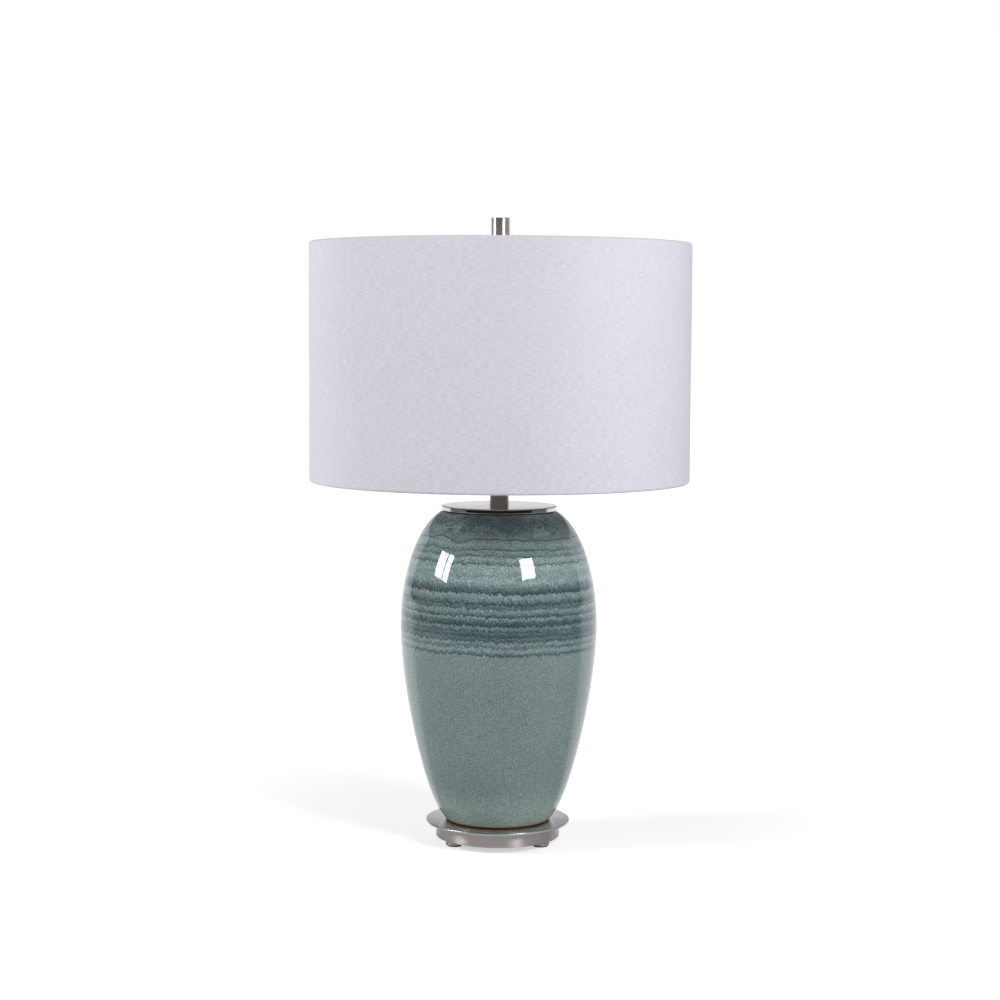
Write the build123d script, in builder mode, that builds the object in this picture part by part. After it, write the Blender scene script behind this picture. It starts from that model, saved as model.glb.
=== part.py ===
"""Ceramic table lamp: a glazed urn on a footed metal base, under a linen drum shade.

Millimetres, +Z up. The origin is on the table, on the axis that every turned piece shares.
The heights stack up from the feet to the finial, each from the piece below it.
"""

import os
from math import cos, radians, sin, sqrt

from build123d import *

os.makedirs("parts", exist_ok=True)

# ---------------------------------------------------------------- driving dimensions
# clearances
SLIP = 0.05  # radial, round a piece that is slid on or turns
LOOSE = 0.2  # radial, round a piece that only drops in

# pads, feet and base pan
FOOT_COUNT = 3
FOOT_RADIUS = 9.0
FOOT_CIRCLE = 51.9
FOOT_HEIGHT = 5.5
FOOT_EDGE = 1.2
PAD_THICKNESS = 1.2
PAD_RADIUS = 7.6
SPIGOT_RADIUS = 3.0
PAN_RADIUS = 65.0
PAN_HEIGHT = 15.0
PAN_WALL = 1.5
PAN_WEB = 1.2
PAN_EDGE = 0.5
COVER_THICKNESS = 1.5
COVER_SCREW_CIRCLE = 46.0
COVER_SCREW_RADIUS = 2.0
COVER_SCREW_LENGTH = 6.0
COVER_HEAD_RADIUS = 3.6
COVER_HEAD_HEIGHT = 2.0
COVER_SLOT_WIDTH = 0.9
COVER_SLOT_DEPTH = 0.9
BALLAST_RADIUS = 58.0
BALLAST_WEB = 3.5
POCKET_RADIUS = 14.0
CHANNEL_WIDTH = 9.0

# cord inlet in the back of the pan
INLET_HEIGHT = 7.4  # axis above the pan's lower edge
INLET_BORE_RADIUS = 3.3
INLET_BODY_RADIUS = 4.5
INLET_LIP_RADIUS = 5.2
INLET_FLANGE_RADIUS = 6.2
INLET_FLANGE = 1.8
INLET_LIP = 1.4

# base plate
PLATE_RADIUS = 75.3
PLATE_THICKNESS = 2.1
PLATE_EDGE = 0.6

# threaded pipe with its nuts and washer
PIPE_RADIUS = 4.8
PIPE_BORE_RADIUS = 3.3
PIPE_PROUD = 0.8  # pipe below the lower nut
PIPE_IN_SOCKET = 8.5  # pipe above the harp saddle
NUT_ACROSS_FLATS = 14.0
NUT_THICKNESS = 4.8
WASHER_RADIUS = 12.0
WASHER_THICKNESS = 1.2

# vase
GASKET_THICKNESS = 1.0
GASKET_INSET = 1.5
VASE_HEIGHT = 324.0
VASE_BELLY_RADIUS = 103.0
VASE_BELLY_HEIGHT = 203.2  # above the vase's foot
VASE_FOOT_RADIUS = 53.6
VASE_FOOT_RECESS = 2.0
VASE_FOOT_RIM = 7.0
VASE_MOUTH_RADIUS = 60.1
SHOULDER_TURN = 74.8  # degrees of its ellipse that the shoulder goes through
FLANK_DROP = 63.0  # how far the flank stays upright below the belly
FLARE_OUT = 21.4  # where the flank turns in to the foot, out from the foot's edge
FLARE_UP = 14.2  # and above it
VASE_WALL = 6.5
VASE_FLOOR = 8.0
VASE_HOLE_RADIUS = 6.5
VASE_MOUTH_BORE = 49.0
VASE_LIP = 9.0  # thickness of the mouth's rim

# cap plate
CAP_RADIUS = 60.4
CAP_THICKNESS = 4.8
CAP_EDGE = 1.5
CAP_SKIN = 1.6
CAP_RIM = 7.0

# neck
NECK_RADIUS = 10.0
NECK_WALL = 1.2
NECK_HEIGHT = 29.0
NECK_RING_THICKNESS = 2.0

# harp and its saddle
HARP_HEIGHT = 228.6  # saddle seat to spider seat
HARP_WIRE_RADIUS = 2.0
HARP_FOOT_SPAN = 29.0  # leg centre to lamp axis
HARP_BOW_SPAN = 57.0
HARP_BOW_LOW = 92.0  # of the bow's straight stretch, above the saddle seat
HARP_BOW_HIGH = 150.0
HARP_BEND_LOW = 26.0
HARP_BEND_HIGH = 40.0
HARP_CROWN_BEND = 14.0
HARP_CROWN_SPAN = 16.0
SADDLE_THICKNESS = 1.5
SADDLE_WIDTH = 12.7
SADDLE_ARM_HEIGHT = 18.0
SADDLE_PIN_HEIGHT = 8.0
SADDLE_BEND = 3.0
SADDLE_COLLAR = 2.0
SADDLE_TAPER = 8.0
HARP_LEG = 34.0  # straight foot of a harp leg
SLEEVE_LENGTH = 16.0
SLEEVE_WALL = 1.0
EYE_RADIUS = 7.0
STUD_RADIUS = 3.15
STUD_LENGTH = 12.0
STUD_SHOULDER_RADIUS = 6.4
STUD_SHOULDER = 3.0
STUD_HEAD_RADIUS = 4.6
STUD_HEAD = 1.4

# lamp socket
SOCKET_CAP_RADIUS = 16.9
SOCKET_CAP_HEIGHT = 18.0
SOCKET_CAP_DOME = 9.0
SOCKET_HUB_RADIUS = 8.0
SOCKET_HUB_HEIGHT = 9.5
SOCKET_SKIN = 0.6
SOCKET_SHELL_START = 10.5  # above the saddle
SOCKET_HEIGHT = 57.0
SOCKET_LIP = 1.0
SOCKET_CAP_BEND = 3.0
LINER_WALL = 0.7
CORE_HEIGHT = 20.0
CORE_BOSS_RADIUS = 7.0
SCREW_SHELL_BORE = 13.15
SCREW_SHELL_WALL = 0.4
SCREW_SHELL_DEPTH = 23.0
SCREW_SHELL_FOOT_RADIUS = 11.4
SCREW_SHELL_FOOT = 4.0  # height of its narrow foot, which clears the centre contact
SCREW_SHELL_BEND = 0.7
CONTACT_WIDTH = 6.0
CONTACT_LENGTH = 10.0
CONTACT_THICKNESS = 0.5
CONTACT_LIFT = 2.2
TERMINAL_HEAD_RADIUS = 2.6
TERMINAL_HEAD = 1.2
TERMINAL_SHANK_RADIUS = 1.5
TERMINAL_SHANK = 4.0
TERMINAL_POCKET_DEPTH = 1.8
TERMINAL_POCKET_WIDTH = 6.0
TERMINAL_HEIGHT = 5.0

# turn switch
SWITCH_HEIGHT = 13.5  # axis above the foot of the socket's core
STEM_RADIUS = 2.0
STEM_ROOM = 0.5  # round the stem in the shell and liner
STEM_IN_CORE = 9.0
STEM_IN_KNOB = 9.0
KNOB_RADIUS = 6.4
KNOB_LENGTH = 13.0
KNOB_STANDOFF = 5.0  # knob from the socket shell
KNOB_FLUTES = 16
KNOB_FLUTE_RADIUS = 0.6
KNOB_EDGE = 0.8

# shade and spider
SHADE_RADIUS = 197.5
SHADE_HEIGHT = 246.8
SPIDER_DROP = 12.5  # hub below the shade's top edge
FABRIC_THICKNESS = 0.6
LINING_THICKNESS = 1.0
HEM_TURN = 8.0
RING_WIRE_RADIUS = 1.6
ARM_COUNT = 3
ARM_WIRE_RADIUS = 1.4
ARM_ROOM = 0.2  # round an arm in the fabric's hem
ARM_BEND = 8.0
ARM_RISE = 30.0  # start of the arm's rise, in from the ring
ARM_TIP = 10.0  # its level tip, in from the ring
HUB_RADIUS = 14.0
HUB_THICKNESS = 1.5
HUB_BARE = 10.8  # of the hub's top, left clear for the finial

# finial
FINIAL_RADIUS = 10.0
FINIAL_HEIGHT = 38.0
FINIAL_EDGE = 0.5
FINIAL_HOLE_DEPTH = 16.0
FINIAL_PLAY = 0.1  # over the hub, so that the shade can turn under it

# ---------------------------------------------------------------- heights, from the table up
Z_FOOT = PAD_THICKNESS
Z_PAN = Z_FOOT + FOOT_HEIGHT
Z_COVER_TOP = Z_PAN + COVER_THICKNESS
Z_PLATE = Z_PAN + PAN_HEIGHT
Z_BALLAST_TOP = Z_PLATE - PAN_WEB
Z_POCKET_TOP = Z_BALLAST_TOP - BALLAST_WEB
Z_INLET = Z_PAN + INLET_HEIGHT
Z_BASE_GASKET = Z_PLATE + PLATE_THICKNESS
Z_VASE = Z_BASE_GASKET + GASKET_THICKNESS
Z_BELLY = Z_VASE + VASE_BELLY_HEIGHT
Z_MOUTH = Z_VASE + VASE_HEIGHT
Z_CAP = Z_MOUTH + GASKET_THICKNESS
Z_NECK = Z_CAP + CAP_THICKNESS
Z_SADDLE = Z_NECK + NECK_HEIGHT
Z_SOCKET = Z_SADDLE + SADDLE_THICKNESS
Z_HUB = Z_SADDLE + HARP_HEIGHT
Z_HUB_TOP = Z_HUB + HUB_THICKNESS
Z_FINIAL = Z_HUB_TOP + FINIAL_PLAY
Z_SHADE_TOP = Z_HUB_TOP + SPIDER_DROP
Z_SHADE = Z_SHADE_TOP - SHADE_HEIGHT
Z_PIPE = Z_POCKET_TOP - WASHER_THICKNESS - NUT_THICKNESS - PIPE_PROUD
Z_PIPE_TOP = Z_SOCKET + PIPE_IN_SOCKET

BACK = 90.0  # direction of the cord inlet and of the rear foot, seen from above
pan_bore = PAN_RADIUS - PAN_WALL


def save(piece, label):
    """Names a finished piece and writes it to its own file."""
    piece.part.label = label
    export_step(piece.part, f"parts/{label}.step")


# ---------------------------------------------------------------- pads and feet
foot_names = ("right", "rear", "left")
for index, foot_name in enumerate(foot_names[:FOOT_COUNT]):
    foot_angle = BACK + (index - 1) * 360 / FOOT_COUNT
    foot_x = FOOT_CIRCLE * cos(radians(foot_angle))
    foot_y = FOOT_CIRCLE * sin(radians(foot_angle))

    with BuildPart() as pad:
        with BuildSketch(Plane((foot_x, foot_y, 0))):
            Circle(PAD_RADIUS)
        extrude(amount=PAD_THICKNESS)
    save(pad, f"foot_pad_{foot_name}")

    with BuildPart() as foot:
        with BuildSketch(Plane((foot_x, foot_y, Z_FOOT))):
            Circle(FOOT_RADIUS)
        extrude(amount=FOOT_HEIGHT)
        fillet(foot.edges().group_by(Axis.Z)[0], FOOT_EDGE)
        with BuildSketch(Plane((foot_x, foot_y, Z_PAN))):
            Circle(SPIGOT_RADIUS)
        extrude(amount=COVER_THICKNESS)
    save(foot, f"foot_{foot_name}")

# ---------------------------------------------------------------- base pan
inlet_grip = PAN_RADIUS - sqrt(pan_bore**2 - INLET_LIP_RADIUS**2)  # clears the wall's curve
inlet_plane = Plane((0, PAN_RADIUS, Z_INLET), x_dir=(-1, 0, 0), z_dir=(0, 1, 0))

with BuildPart() as base_pan:
    with BuildSketch(Plane.XY.offset(Z_PAN)):
        Circle(PAN_RADIUS)
    extrude(amount=PAN_HEIGHT)
    fillet(base_pan.edges().group_by(Axis.Z)[0], PAN_EDGE)
    with BuildSketch(Plane.XY.offset(Z_PAN)):
        Circle(pan_bore)
    extrude(amount=PAN_HEIGHT - PAN_WEB, mode=Mode.SUBTRACT)
    with BuildSketch(Plane.XY.offset(Z_PLATE)):
        Circle(PIPE_RADIUS + SLIP)
    extrude(amount=-PAN_WEB, mode=Mode.SUBTRACT)
    with BuildSketch(inlet_plane):
        Circle(INLET_BODY_RADIUS + SLIP)
    extrude(amount=-2 * PAN_WALL, mode=Mode.SUBTRACT)
save(base_pan, "base_pan")

with BuildPart() as inlet:
    with BuildSketch(inlet_plane):
        Circle(INLET_FLANGE_RADIUS)
    extrude(amount=INLET_FLANGE)
    fillet(inlet.edges().group_by(Axis.Y)[-1], INLET_FLANGE / 3)
    with BuildSketch(inlet_plane):
        Circle(INLET_BODY_RADIUS)
    extrude(amount=-inlet_grip)
    with BuildSketch(inlet_plane.offset(-inlet_grip)):
        Circle(INLET_LIP_RADIUS)
    extrude(amount=-INLET_LIP)
    with BuildSketch(inlet_plane.offset(INLET_FLANGE)):
        Circle(INLET_BORE_RADIUS)
    extrude(amount=-(INLET_FLANGE + inlet_grip + INLET_LIP), mode=Mode.SUBTRACT)
save(inlet, "cord_inlet_bushing")

with BuildPart() as ballast:
    with BuildSketch(Plane.XY.offset(Z_COVER_TOP)):
        Circle(BALLAST_RADIUS)
    extrude(amount=Z_BALLAST_TOP - Z_COVER_TOP)
    with BuildSketch(Plane.XY.offset(Z_COVER_TOP)):
        Circle(POCKET_RADIUS)
        with Locations((0, BALLAST_RADIUS)):
            Rectangle(CHANNEL_WIDTH, 2 * BALLAST_RADIUS)
    extrude(amount=Z_POCKET_TOP - Z_COVER_TOP, mode=Mode.SUBTRACT)
    with BuildSketch(Plane.XY.offset(Z_POCKET_TOP)):
        Circle(PIPE_RADIUS + SLIP)
    extrude(amount=BALLAST_WEB, mode=Mode.SUBTRACT)
    with BuildSketch(Plane.XY.offset(Z_COVER_TOP)):
        with PolarLocations(COVER_SCREW_CIRCLE, FOOT_COUNT, start_angle=-BACK):
            Circle(COVER_SCREW_RADIUS + SLIP)
    extrude(amount=COVER_SCREW_LENGTH, mode=Mode.SUBTRACT)
save(ballast, "ballast_disc")

with BuildPart() as cover:
    with BuildSketch(Plane.XY.offset(Z_PAN)):
        Circle(pan_bore - LOOSE)
        with PolarLocations(FOOT_CIRCLE, FOOT_COUNT, start_angle=BACK):
            Circle(SPIGOT_RADIUS + SLIP, mode=Mode.SUBTRACT)
        with PolarLocations(COVER_SCREW_CIRCLE, FOOT_COUNT, start_angle=-BACK):
            Circle(COVER_SCREW_RADIUS + SLIP, mode=Mode.SUBTRACT)
    extrude(amount=COVER_THICKNESS)
save(cover, "bottom_cover")

with BuildPart() as cover_screws:
    with BuildSketch(Plane.XY.offset(Z_PAN)):
        with PolarLocations(COVER_SCREW_CIRCLE, FOOT_COUNT, start_angle=-BACK):
            Circle(COVER_HEAD_RADIUS)
    extrude(amount=-COVER_HEAD_HEIGHT)
    fillet(cover_screws.edges().group_by(Axis.Z)[0], COVER_HEAD_HEIGHT / 3)
    with BuildSketch(Plane.XY.offset(Z_PAN - COVER_HEAD_HEIGHT)):
        with PolarLocations(COVER_SCREW_CIRCLE, FOOT_COUNT, start_angle=-BACK):
            Rectangle(COVER_SLOT_WIDTH, 3 * COVER_HEAD_RADIUS)
    extrude(amount=COVER_SLOT_DEPTH, mode=Mode.SUBTRACT)
    with BuildSketch(Plane.XY.offset(Z_PAN)):
        with PolarLocations(COVER_SCREW_CIRCLE, FOOT_COUNT, start_angle=-BACK):
            Circle(COVER_SCREW_RADIUS)
    extrude(amount=COVER_SCREW_LENGTH)
save(cover_screws, "cover_screws")

with BuildPart() as base_plate:
    with BuildSketch(Plane.XY.offset(Z_PLATE)):
        Circle(PLATE_RADIUS)
    extrude(amount=PLATE_THICKNESS)
    fillet(base_plate.edges(), PLATE_EDGE)
    with BuildSketch(Plane.XY.offset(Z_PLATE)):
        Circle(PIPE_RADIUS + SLIP)
    extrude(amount=PLATE_THICKNESS, mode=Mode.SUBTRACT)
save(base_plate, "base_plate")

# ---------------------------------------------------------------- threaded pipe, nuts, washer
with BuildPart() as pipe:
    with BuildSketch(Plane.XY.offset(Z_PIPE)):
        Circle(PIPE_RADIUS)
        Circle(PIPE_BORE_RADIUS, mode=Mode.SUBTRACT)
    extrude(amount=Z_PIPE_TOP - Z_PIPE)
save(pipe, "threaded_pipe")

with BuildPart() as washer:
    with BuildSketch(Plane.XY.offset(Z_POCKET_TOP)):
        Circle(WASHER_RADIUS)
        Circle(PIPE_RADIUS + SLIP, mode=Mode.SUBTRACT)
    extrude(amount=-WASHER_THICKNESS)
save(washer, "pipe_washer")

for nut_name, nut_base in (
    ("lower_pipe_nut", Z_POCKET_TOP - WASHER_THICKNESS - NUT_THICKNESS),
    ("upper_pipe_nut", Z_NECK),
):
    with BuildPart() as nut:
        with BuildSketch(Plane.XY.offset(nut_base)):
            RegularPolygon(NUT_ACROSS_FLATS / 2, 6, major_radius=False)
            Circle(PIPE_RADIUS + SLIP, mode=Mode.SUBTRACT)
        extrude(amount=NUT_THICKNESS)
    save(nut, nut_name)


# ---------------------------------------------------------------- vase
def vase_side(belly_radius, mouth_radius, foot_radius, z_bottom, z_top):
    """Returns half the outline of a vase, closed on the lamp's axis.

    The flank is a curve that leaves the belly upright and turns in at the foot, and the
    shoulder is part of an ellipse from the belly to the mouth.
    """
    across = (belly_radius - mouth_radius) / (1 - cos(radians(SHOULDER_TURN)))
    rise = (z_top - Z_BELLY) / sin(radians(SHOULDER_TURN))
    with BuildLine() as side_line:
        Bezier(
            (foot_radius, z_bottom),
            (foot_radius + FLARE_OUT, z_bottom + FLARE_UP),
            (belly_radius, Z_BELLY - FLANK_DROP),
            (belly_radius, Z_BELLY),
        )
        EllipticalCenterArc(
            (belly_radius - across, Z_BELLY), across, rise, 0, arc_size=SHOULDER_TURN
        )
        Polyline(
            (mouth_radius, z_top), (0, z_top), (0, z_bottom), (foot_radius, z_bottom)
        )
    return side_line.edges()


vase_outside = vase_side(
    VASE_BELLY_RADIUS, VASE_MOUTH_RADIUS, VASE_FOOT_RADIUS, Z_VASE, Z_MOUTH
)
vase_inside = vase_side(
    VASE_BELLY_RADIUS - VASE_WALL,
    VASE_MOUTH_RADIUS - VASE_WALL / 2,
    VASE_FOOT_RADIUS - VASE_WALL,
    Z_VASE + VASE_FLOOR,
    Z_MOUTH - VASE_LIP,
)

with BuildPart() as vase:
    with BuildSketch(Plane.XZ):
        make_face(vase_outside)
    revolve(axis=Axis.Z)
    with BuildSketch(Plane.XZ):
        make_face(vase_inside)
    revolve(axis=Axis.Z, mode=Mode.SUBTRACT)
    with BuildSketch(Plane.XY.offset(Z_MOUTH - VASE_LIP)):
        Circle(VASE_MOUTH_BORE)
    extrude(amount=VASE_LIP, mode=Mode.SUBTRACT)
    with BuildSketch(Plane.XY.offset(Z_VASE)):
        Circle(VASE_HOLE_RADIUS)
    extrude(amount=VASE_FLOOR, mode=Mode.SUBTRACT)
    with BuildSketch(Plane.XY.offset(Z_VASE)):
        Circle(VASE_FOOT_RADIUS - VASE_FOOT_RIM)
    extrude(amount=VASE_FOOT_RECESS, mode=Mode.SUBTRACT)
save(vase, "vase")

for gasket_name, gasket_base, gasket_outer, gasket_inner in (
    ("base_gasket", Z_BASE_GASKET, VASE_FOOT_RADIUS - GASKET_INSET, VASE_FOOT_RADIUS - VASE_FOOT_RIM),
    ("cap_gasket", Z_MOUTH, VASE_MOUTH_RADIUS - GASKET_INSET, VASE_MOUTH_BORE),
):
    with BuildPart() as gasket:
        with BuildSketch(Plane.XY.offset(gasket_base)):
            Circle(gasket_outer)
            Circle(gasket_inner, mode=Mode.SUBTRACT)
        extrude(amount=GASKET_THICKNESS)
    save(gasket, gasket_name)

# ---------------------------------------------------------------- cap plate and neck
with BuildPart() as cap_plate:
    with BuildSketch(Plane.XY.offset(Z_CAP)):
        Circle(CAP_RADIUS)
    extrude(amount=CAP_THICKNESS)
    fillet(cap_plate.edges().group_by(Axis.Z)[-1], CAP_EDGE)
    fillet(cap_plate.edges().group_by(Axis.Z)[0], CAP_EDGE)
    with BuildSketch(Plane.XY.offset(Z_CAP)):
        Circle(CAP_RADIUS - CAP_EDGE - CAP_RIM)
    extrude(amount=CAP_THICKNESS - CAP_SKIN, mode=Mode.SUBTRACT)
    with BuildSketch(Plane.XY.offset(Z_CAP)):
        Circle(PIPE_RADIUS + SLIP)
    extrude(amount=CAP_THICKNESS, mode=Mode.SUBTRACT)
save(cap_plate, "cap_plate")

with BuildPart() as neck:
    with BuildSketch(Plane.XY.offset(Z_NECK)):
        Circle(NECK_RADIUS)
        Circle(NECK_RADIUS - NECK_WALL, mode=Mode.SUBTRACT)
    extrude(amount=NECK_HEIGHT)
save(neck, "neck_tube")

with BuildPart() as neck_ring:
    with BuildSketch(Plane.XY.offset(Z_SADDLE - NECK_RING_THICKNESS)):
        Circle(NECK_RADIUS - NECK_WALL - SLIP)
        Circle(PIPE_RADIUS + SLIP, mode=Mode.SUBTRACT)
    extrude(amount=NECK_RING_THICKNESS)
save(neck_ring, "neck_seating_ring")

# ---------------------------------------------------------------- harp saddle
z_saddle_strip = Z_SADDLE + SADDLE_THICKNESS / 2
z_collar = Z_SADDLE + SADDLE_ARM_HEIGHT
z_sleeve = z_collar + SADDLE_COLLAR
z_leg = z_sleeve + SADDLE_PIN_HEIGHT
sleeve_radius = HARP_WIRE_RADIUS + SLIP + SLEEVE_WALL

with BuildPart() as saddle:
    with BuildSketch(Plane.XZ):
        with BuildLine():
            FilletPolyline(
                (-HARP_FOOT_SPAN, z_collar),
                (-HARP_FOOT_SPAN, z_saddle_strip),
                (HARP_FOOT_SPAN, z_saddle_strip),
                (HARP_FOOT_SPAN, z_collar),
                radius=SADDLE_BEND,
            )
        trace(line_width=SADDLE_THICKNESS)
    extrude(amount=SADDLE_WIDTH / 2, both=True)
    arm_corners = saddle.edges().filter_by(Axis.X).group_by(Axis.Z)[-1]
    chamfer(arm_corners, SADDLE_TAPER, SADDLE_WIDTH / 2 - sleeve_radius)
    with BuildSketch(Plane.XY.offset(Z_SADDLE)):
        Circle(PIPE_RADIUS + SLIP)
    extrude(amount=SADDLE_THICKNESS, mode=Mode.SUBTRACT)
    with BuildSketch(Plane.XY.offset(z_collar)):
        with Locations((-HARP_FOOT_SPAN, 0), (HARP_FOOT_SPAN, 0)):
            Circle(sleeve_radius)
    extrude(amount=SADDLE_COLLAR)
    with BuildSketch(Plane.XY.offset(z_sleeve)):
        with Locations((-HARP_FOOT_SPAN, 0), (HARP_FOOT_SPAN, 0)):
            Circle(HARP_WIRE_RADIUS)
    extrude(amount=SADDLE_PIN_HEIGHT)
save(saddle, "harp_saddle")

# ---------------------------------------------------------------- harp, its stud and sleeves
z_crown = Z_HUB - STUD_SHOULDER - HARP_WIRE_RADIUS

with BuildPart() as harp:
    with BuildLine():
        right_side = [
            (HARP_FOOT_SPAN, 0, z_leg),
            (HARP_FOOT_SPAN, 0, z_leg + HARP_LEG),
            (HARP_BOW_SPAN, 0, Z_SADDLE + HARP_BOW_LOW),
            (HARP_BOW_SPAN, 0, Z_SADDLE + HARP_BOW_HIGH),
            (HARP_CROWN_SPAN, 0, z_crown),
        ]
        left_side = [(-x, y, z) for x, y, z in reversed(right_side)]
        side_bends = [HARP_BEND_LOW, HARP_BEND_LOW, HARP_BEND_HIGH, HARP_CROWN_BEND]
        harp_path = FilletPolyline(
            *right_side, *left_side, radius=side_bends + side_bends[::-1]
        )
    with BuildSketch(Plane(harp_path @ 0, z_dir=harp_path % 0)):
        Circle(HARP_WIRE_RADIUS)
    sweep(path=harp_path)
    with BuildSketch(Plane.XY.offset(z_crown)):
        Circle(EYE_RADIUS)
    extrude(amount=HARP_WIRE_RADIUS, both=True)
    with BuildSketch(Plane.XY.offset(z_crown)):
        Circle(STUD_RADIUS + SLIP)
    extrude(amount=HARP_WIRE_RADIUS, both=True, mode=Mode.SUBTRACT)
save(harp, "harp")

with BuildPart() as stud:
    with BuildSketch(Plane.XY.offset(z_crown - HARP_WIRE_RADIUS - STUD_HEAD)):
        Circle(STUD_HEAD_RADIUS)
    extrude(amount=STUD_HEAD)
    with BuildSketch(Plane.XY.offset(z_crown - HARP_WIRE_RADIUS)):
        Circle(STUD_RADIUS)
    extrude(amount=2 * HARP_WIRE_RADIUS)
    with BuildSketch(Plane.XY.offset(Z_HUB - STUD_SHOULDER)):
        Circle(STUD_SHOULDER_RADIUS)
    extrude(amount=STUD_SHOULDER)
    with BuildSketch(Plane.XY.offset(Z_HUB)):
        Circle(STUD_RADIUS)
    extrude(amount=STUD_LENGTH)
    chamfer(stud.edges().group_by(Axis.Z)[-1], STUD_RADIUS / 5)
save(stud, "harp_stud")

for side_name, side in (("left", -1), ("right", 1)):
    with BuildPart() as sleeve:
        with BuildSketch(Plane((side * HARP_FOOT_SPAN, 0, z_sleeve))):
            Circle(sleeve_radius)
            Circle(HARP_WIRE_RADIUS + SLIP, mode=Mode.SUBTRACT)
        extrude(amount=SLEEVE_LENGTH)
    save(sleeve, f"harp_sleeve_{side_name}")

# ---------------------------------------------------------------- lamp socket
shell_radius = SOCKET_CAP_RADIUS - SOCKET_SKIN - SLIP
liner_radius = shell_radius - SOCKET_SKIN - SLIP
core_radius = liner_radius - LINER_WALL - LOOSE
z_shell = Z_SOCKET + SOCKET_SHELL_START
z_socket_top = Z_SOCKET + SOCKET_HEIGHT
z_core = Z_SOCKET + SOCKET_HUB_HEIGHT
z_core_top = z_core + CORE_HEIGHT
z_switch = z_core + SWITCH_HEIGHT
z_terminal = z_core + TERMINAL_HEIGHT
z_contact = z_core_top + SCREW_SHELL_WALL + CONTACT_THICKNESS / 2
switch_plane = Plane((0, 0, z_switch), x_dir=(1, 0, 0), z_dir=(0, -1, 0))
stem_hole_radius = STEM_RADIUS + STEM_ROOM

with BuildPart() as socket_cap:
    with BuildSketch(Plane.XZ):
        with BuildLine():
            FilletPolyline(
                (PIPE_RADIUS + SLIP, Z_SOCKET + SOCKET_SKIN / 2),
                (SOCKET_HUB_RADIUS, Z_SOCKET + SOCKET_SKIN / 2),
                (SOCKET_CAP_RADIUS - SOCKET_SKIN / 2, Z_SOCKET + SOCKET_CAP_DOME),
                (SOCKET_CAP_RADIUS - SOCKET_SKIN / 2, Z_SOCKET + SOCKET_CAP_HEIGHT),
                radius=SOCKET_CAP_BEND,
            )
        trace(line_width=SOCKET_SKIN)
    revolve(axis=Axis.Z)
    with BuildSketch(Plane.XY.offset(Z_SOCKET)):
        Circle(SOCKET_HUB_RADIUS)
        Circle(PIPE_RADIUS + SLIP, mode=Mode.SUBTRACT)
    extrude(amount=SOCKET_HUB_HEIGHT)
save(socket_cap, "socket_cap")

with BuildPart() as socket_shell:
    with BuildSketch(Plane.XY.offset(z_shell)):
        Circle(shell_radius)
        Circle(shell_radius - SOCKET_SKIN, mode=Mode.SUBTRACT)
    extrude(amount=z_socket_top - z_shell)
    with BuildSketch(Plane.XY.offset(z_socket_top)):
        Circle(shell_radius)
        Circle(shell_radius - SOCKET_SKIN - SOCKET_LIP, mode=Mode.SUBTRACT)
    extrude(amount=-SOCKET_SKIN)
    with BuildSketch(switch_plane):
        Circle(stem_hole_radius)
    extrude(amount=SOCKET_CAP_RADIUS, mode=Mode.SUBTRACT)
save(socket_shell, "socket_shell")

with BuildPart() as liner:
    with BuildSketch(Plane.XY.offset(z_shell)):
        Circle(liner_radius)
        Circle(liner_radius - LINER_WALL, mode=Mode.SUBTRACT)
    extrude(amount=z_socket_top - SOCKET_SKIN - z_shell)
    with BuildSketch(switch_plane):
        Circle(stem_hole_radius)
    extrude(amount=SOCKET_CAP_RADIUS, mode=Mode.SUBTRACT)
save(liner, "socket_liner")

terminal_planes = [
    Plane((side * core_radius, 0, z_terminal), x_dir=(0, 1, 0), z_dir=(side, 0, 0))
    for side in (-1, 1)
]

with BuildPart() as core:
    with BuildSketch(Plane.XY.offset(z_core)):
        Circle(core_radius)
    extrude(amount=CORE_HEIGHT)
    with BuildSketch(Plane.XY.offset(z_core_top)):
        Circle(CORE_BOSS_RADIUS)
    extrude(amount=SCREW_SHELL_WALL)
    for terminal_plane in terminal_planes:
        with BuildSketch(terminal_plane):
            Rectangle(TERMINAL_POCKET_WIDTH, TERMINAL_POCKET_WIDTH)
        extrude(amount=-TERMINAL_POCKET_DEPTH, mode=Mode.SUBTRACT)
        with BuildSketch(terminal_plane.offset(-TERMINAL_POCKET_DEPTH)):
            Circle(TERMINAL_SHANK_RADIUS + SLIP)
        extrude(amount=-TERMINAL_SHANK, mode=Mode.SUBTRACT)
    with BuildSketch(switch_plane.offset(core_radius)):
        Circle(STEM_RADIUS + SLIP)
    extrude(amount=-STEM_IN_CORE, mode=Mode.SUBTRACT)
save(core, "socket_core")

with BuildPart() as terminals:
    for terminal_plane in terminal_planes:
        with BuildSketch(terminal_plane.offset(-TERMINAL_POCKET_DEPTH)):
            Circle(TERMINAL_HEAD_RADIUS)
        extrude(amount=TERMINAL_HEAD)
        with BuildSketch(terminal_plane.offset(-TERMINAL_POCKET_DEPTH)):
            Circle(TERMINAL_SHANK_RADIUS)
        extrude(amount=-TERMINAL_SHANK)
save(terminals, "terminal_screws")

half_shell_wall = SCREW_SHELL_WALL / 2
foot_line = SCREW_SHELL_FOOT_RADIUS - half_shell_wall
bore_line = SCREW_SHELL_BORE + half_shell_wall
z_shelf = z_core_top + SCREW_SHELL_FOOT - half_shell_wall

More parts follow.
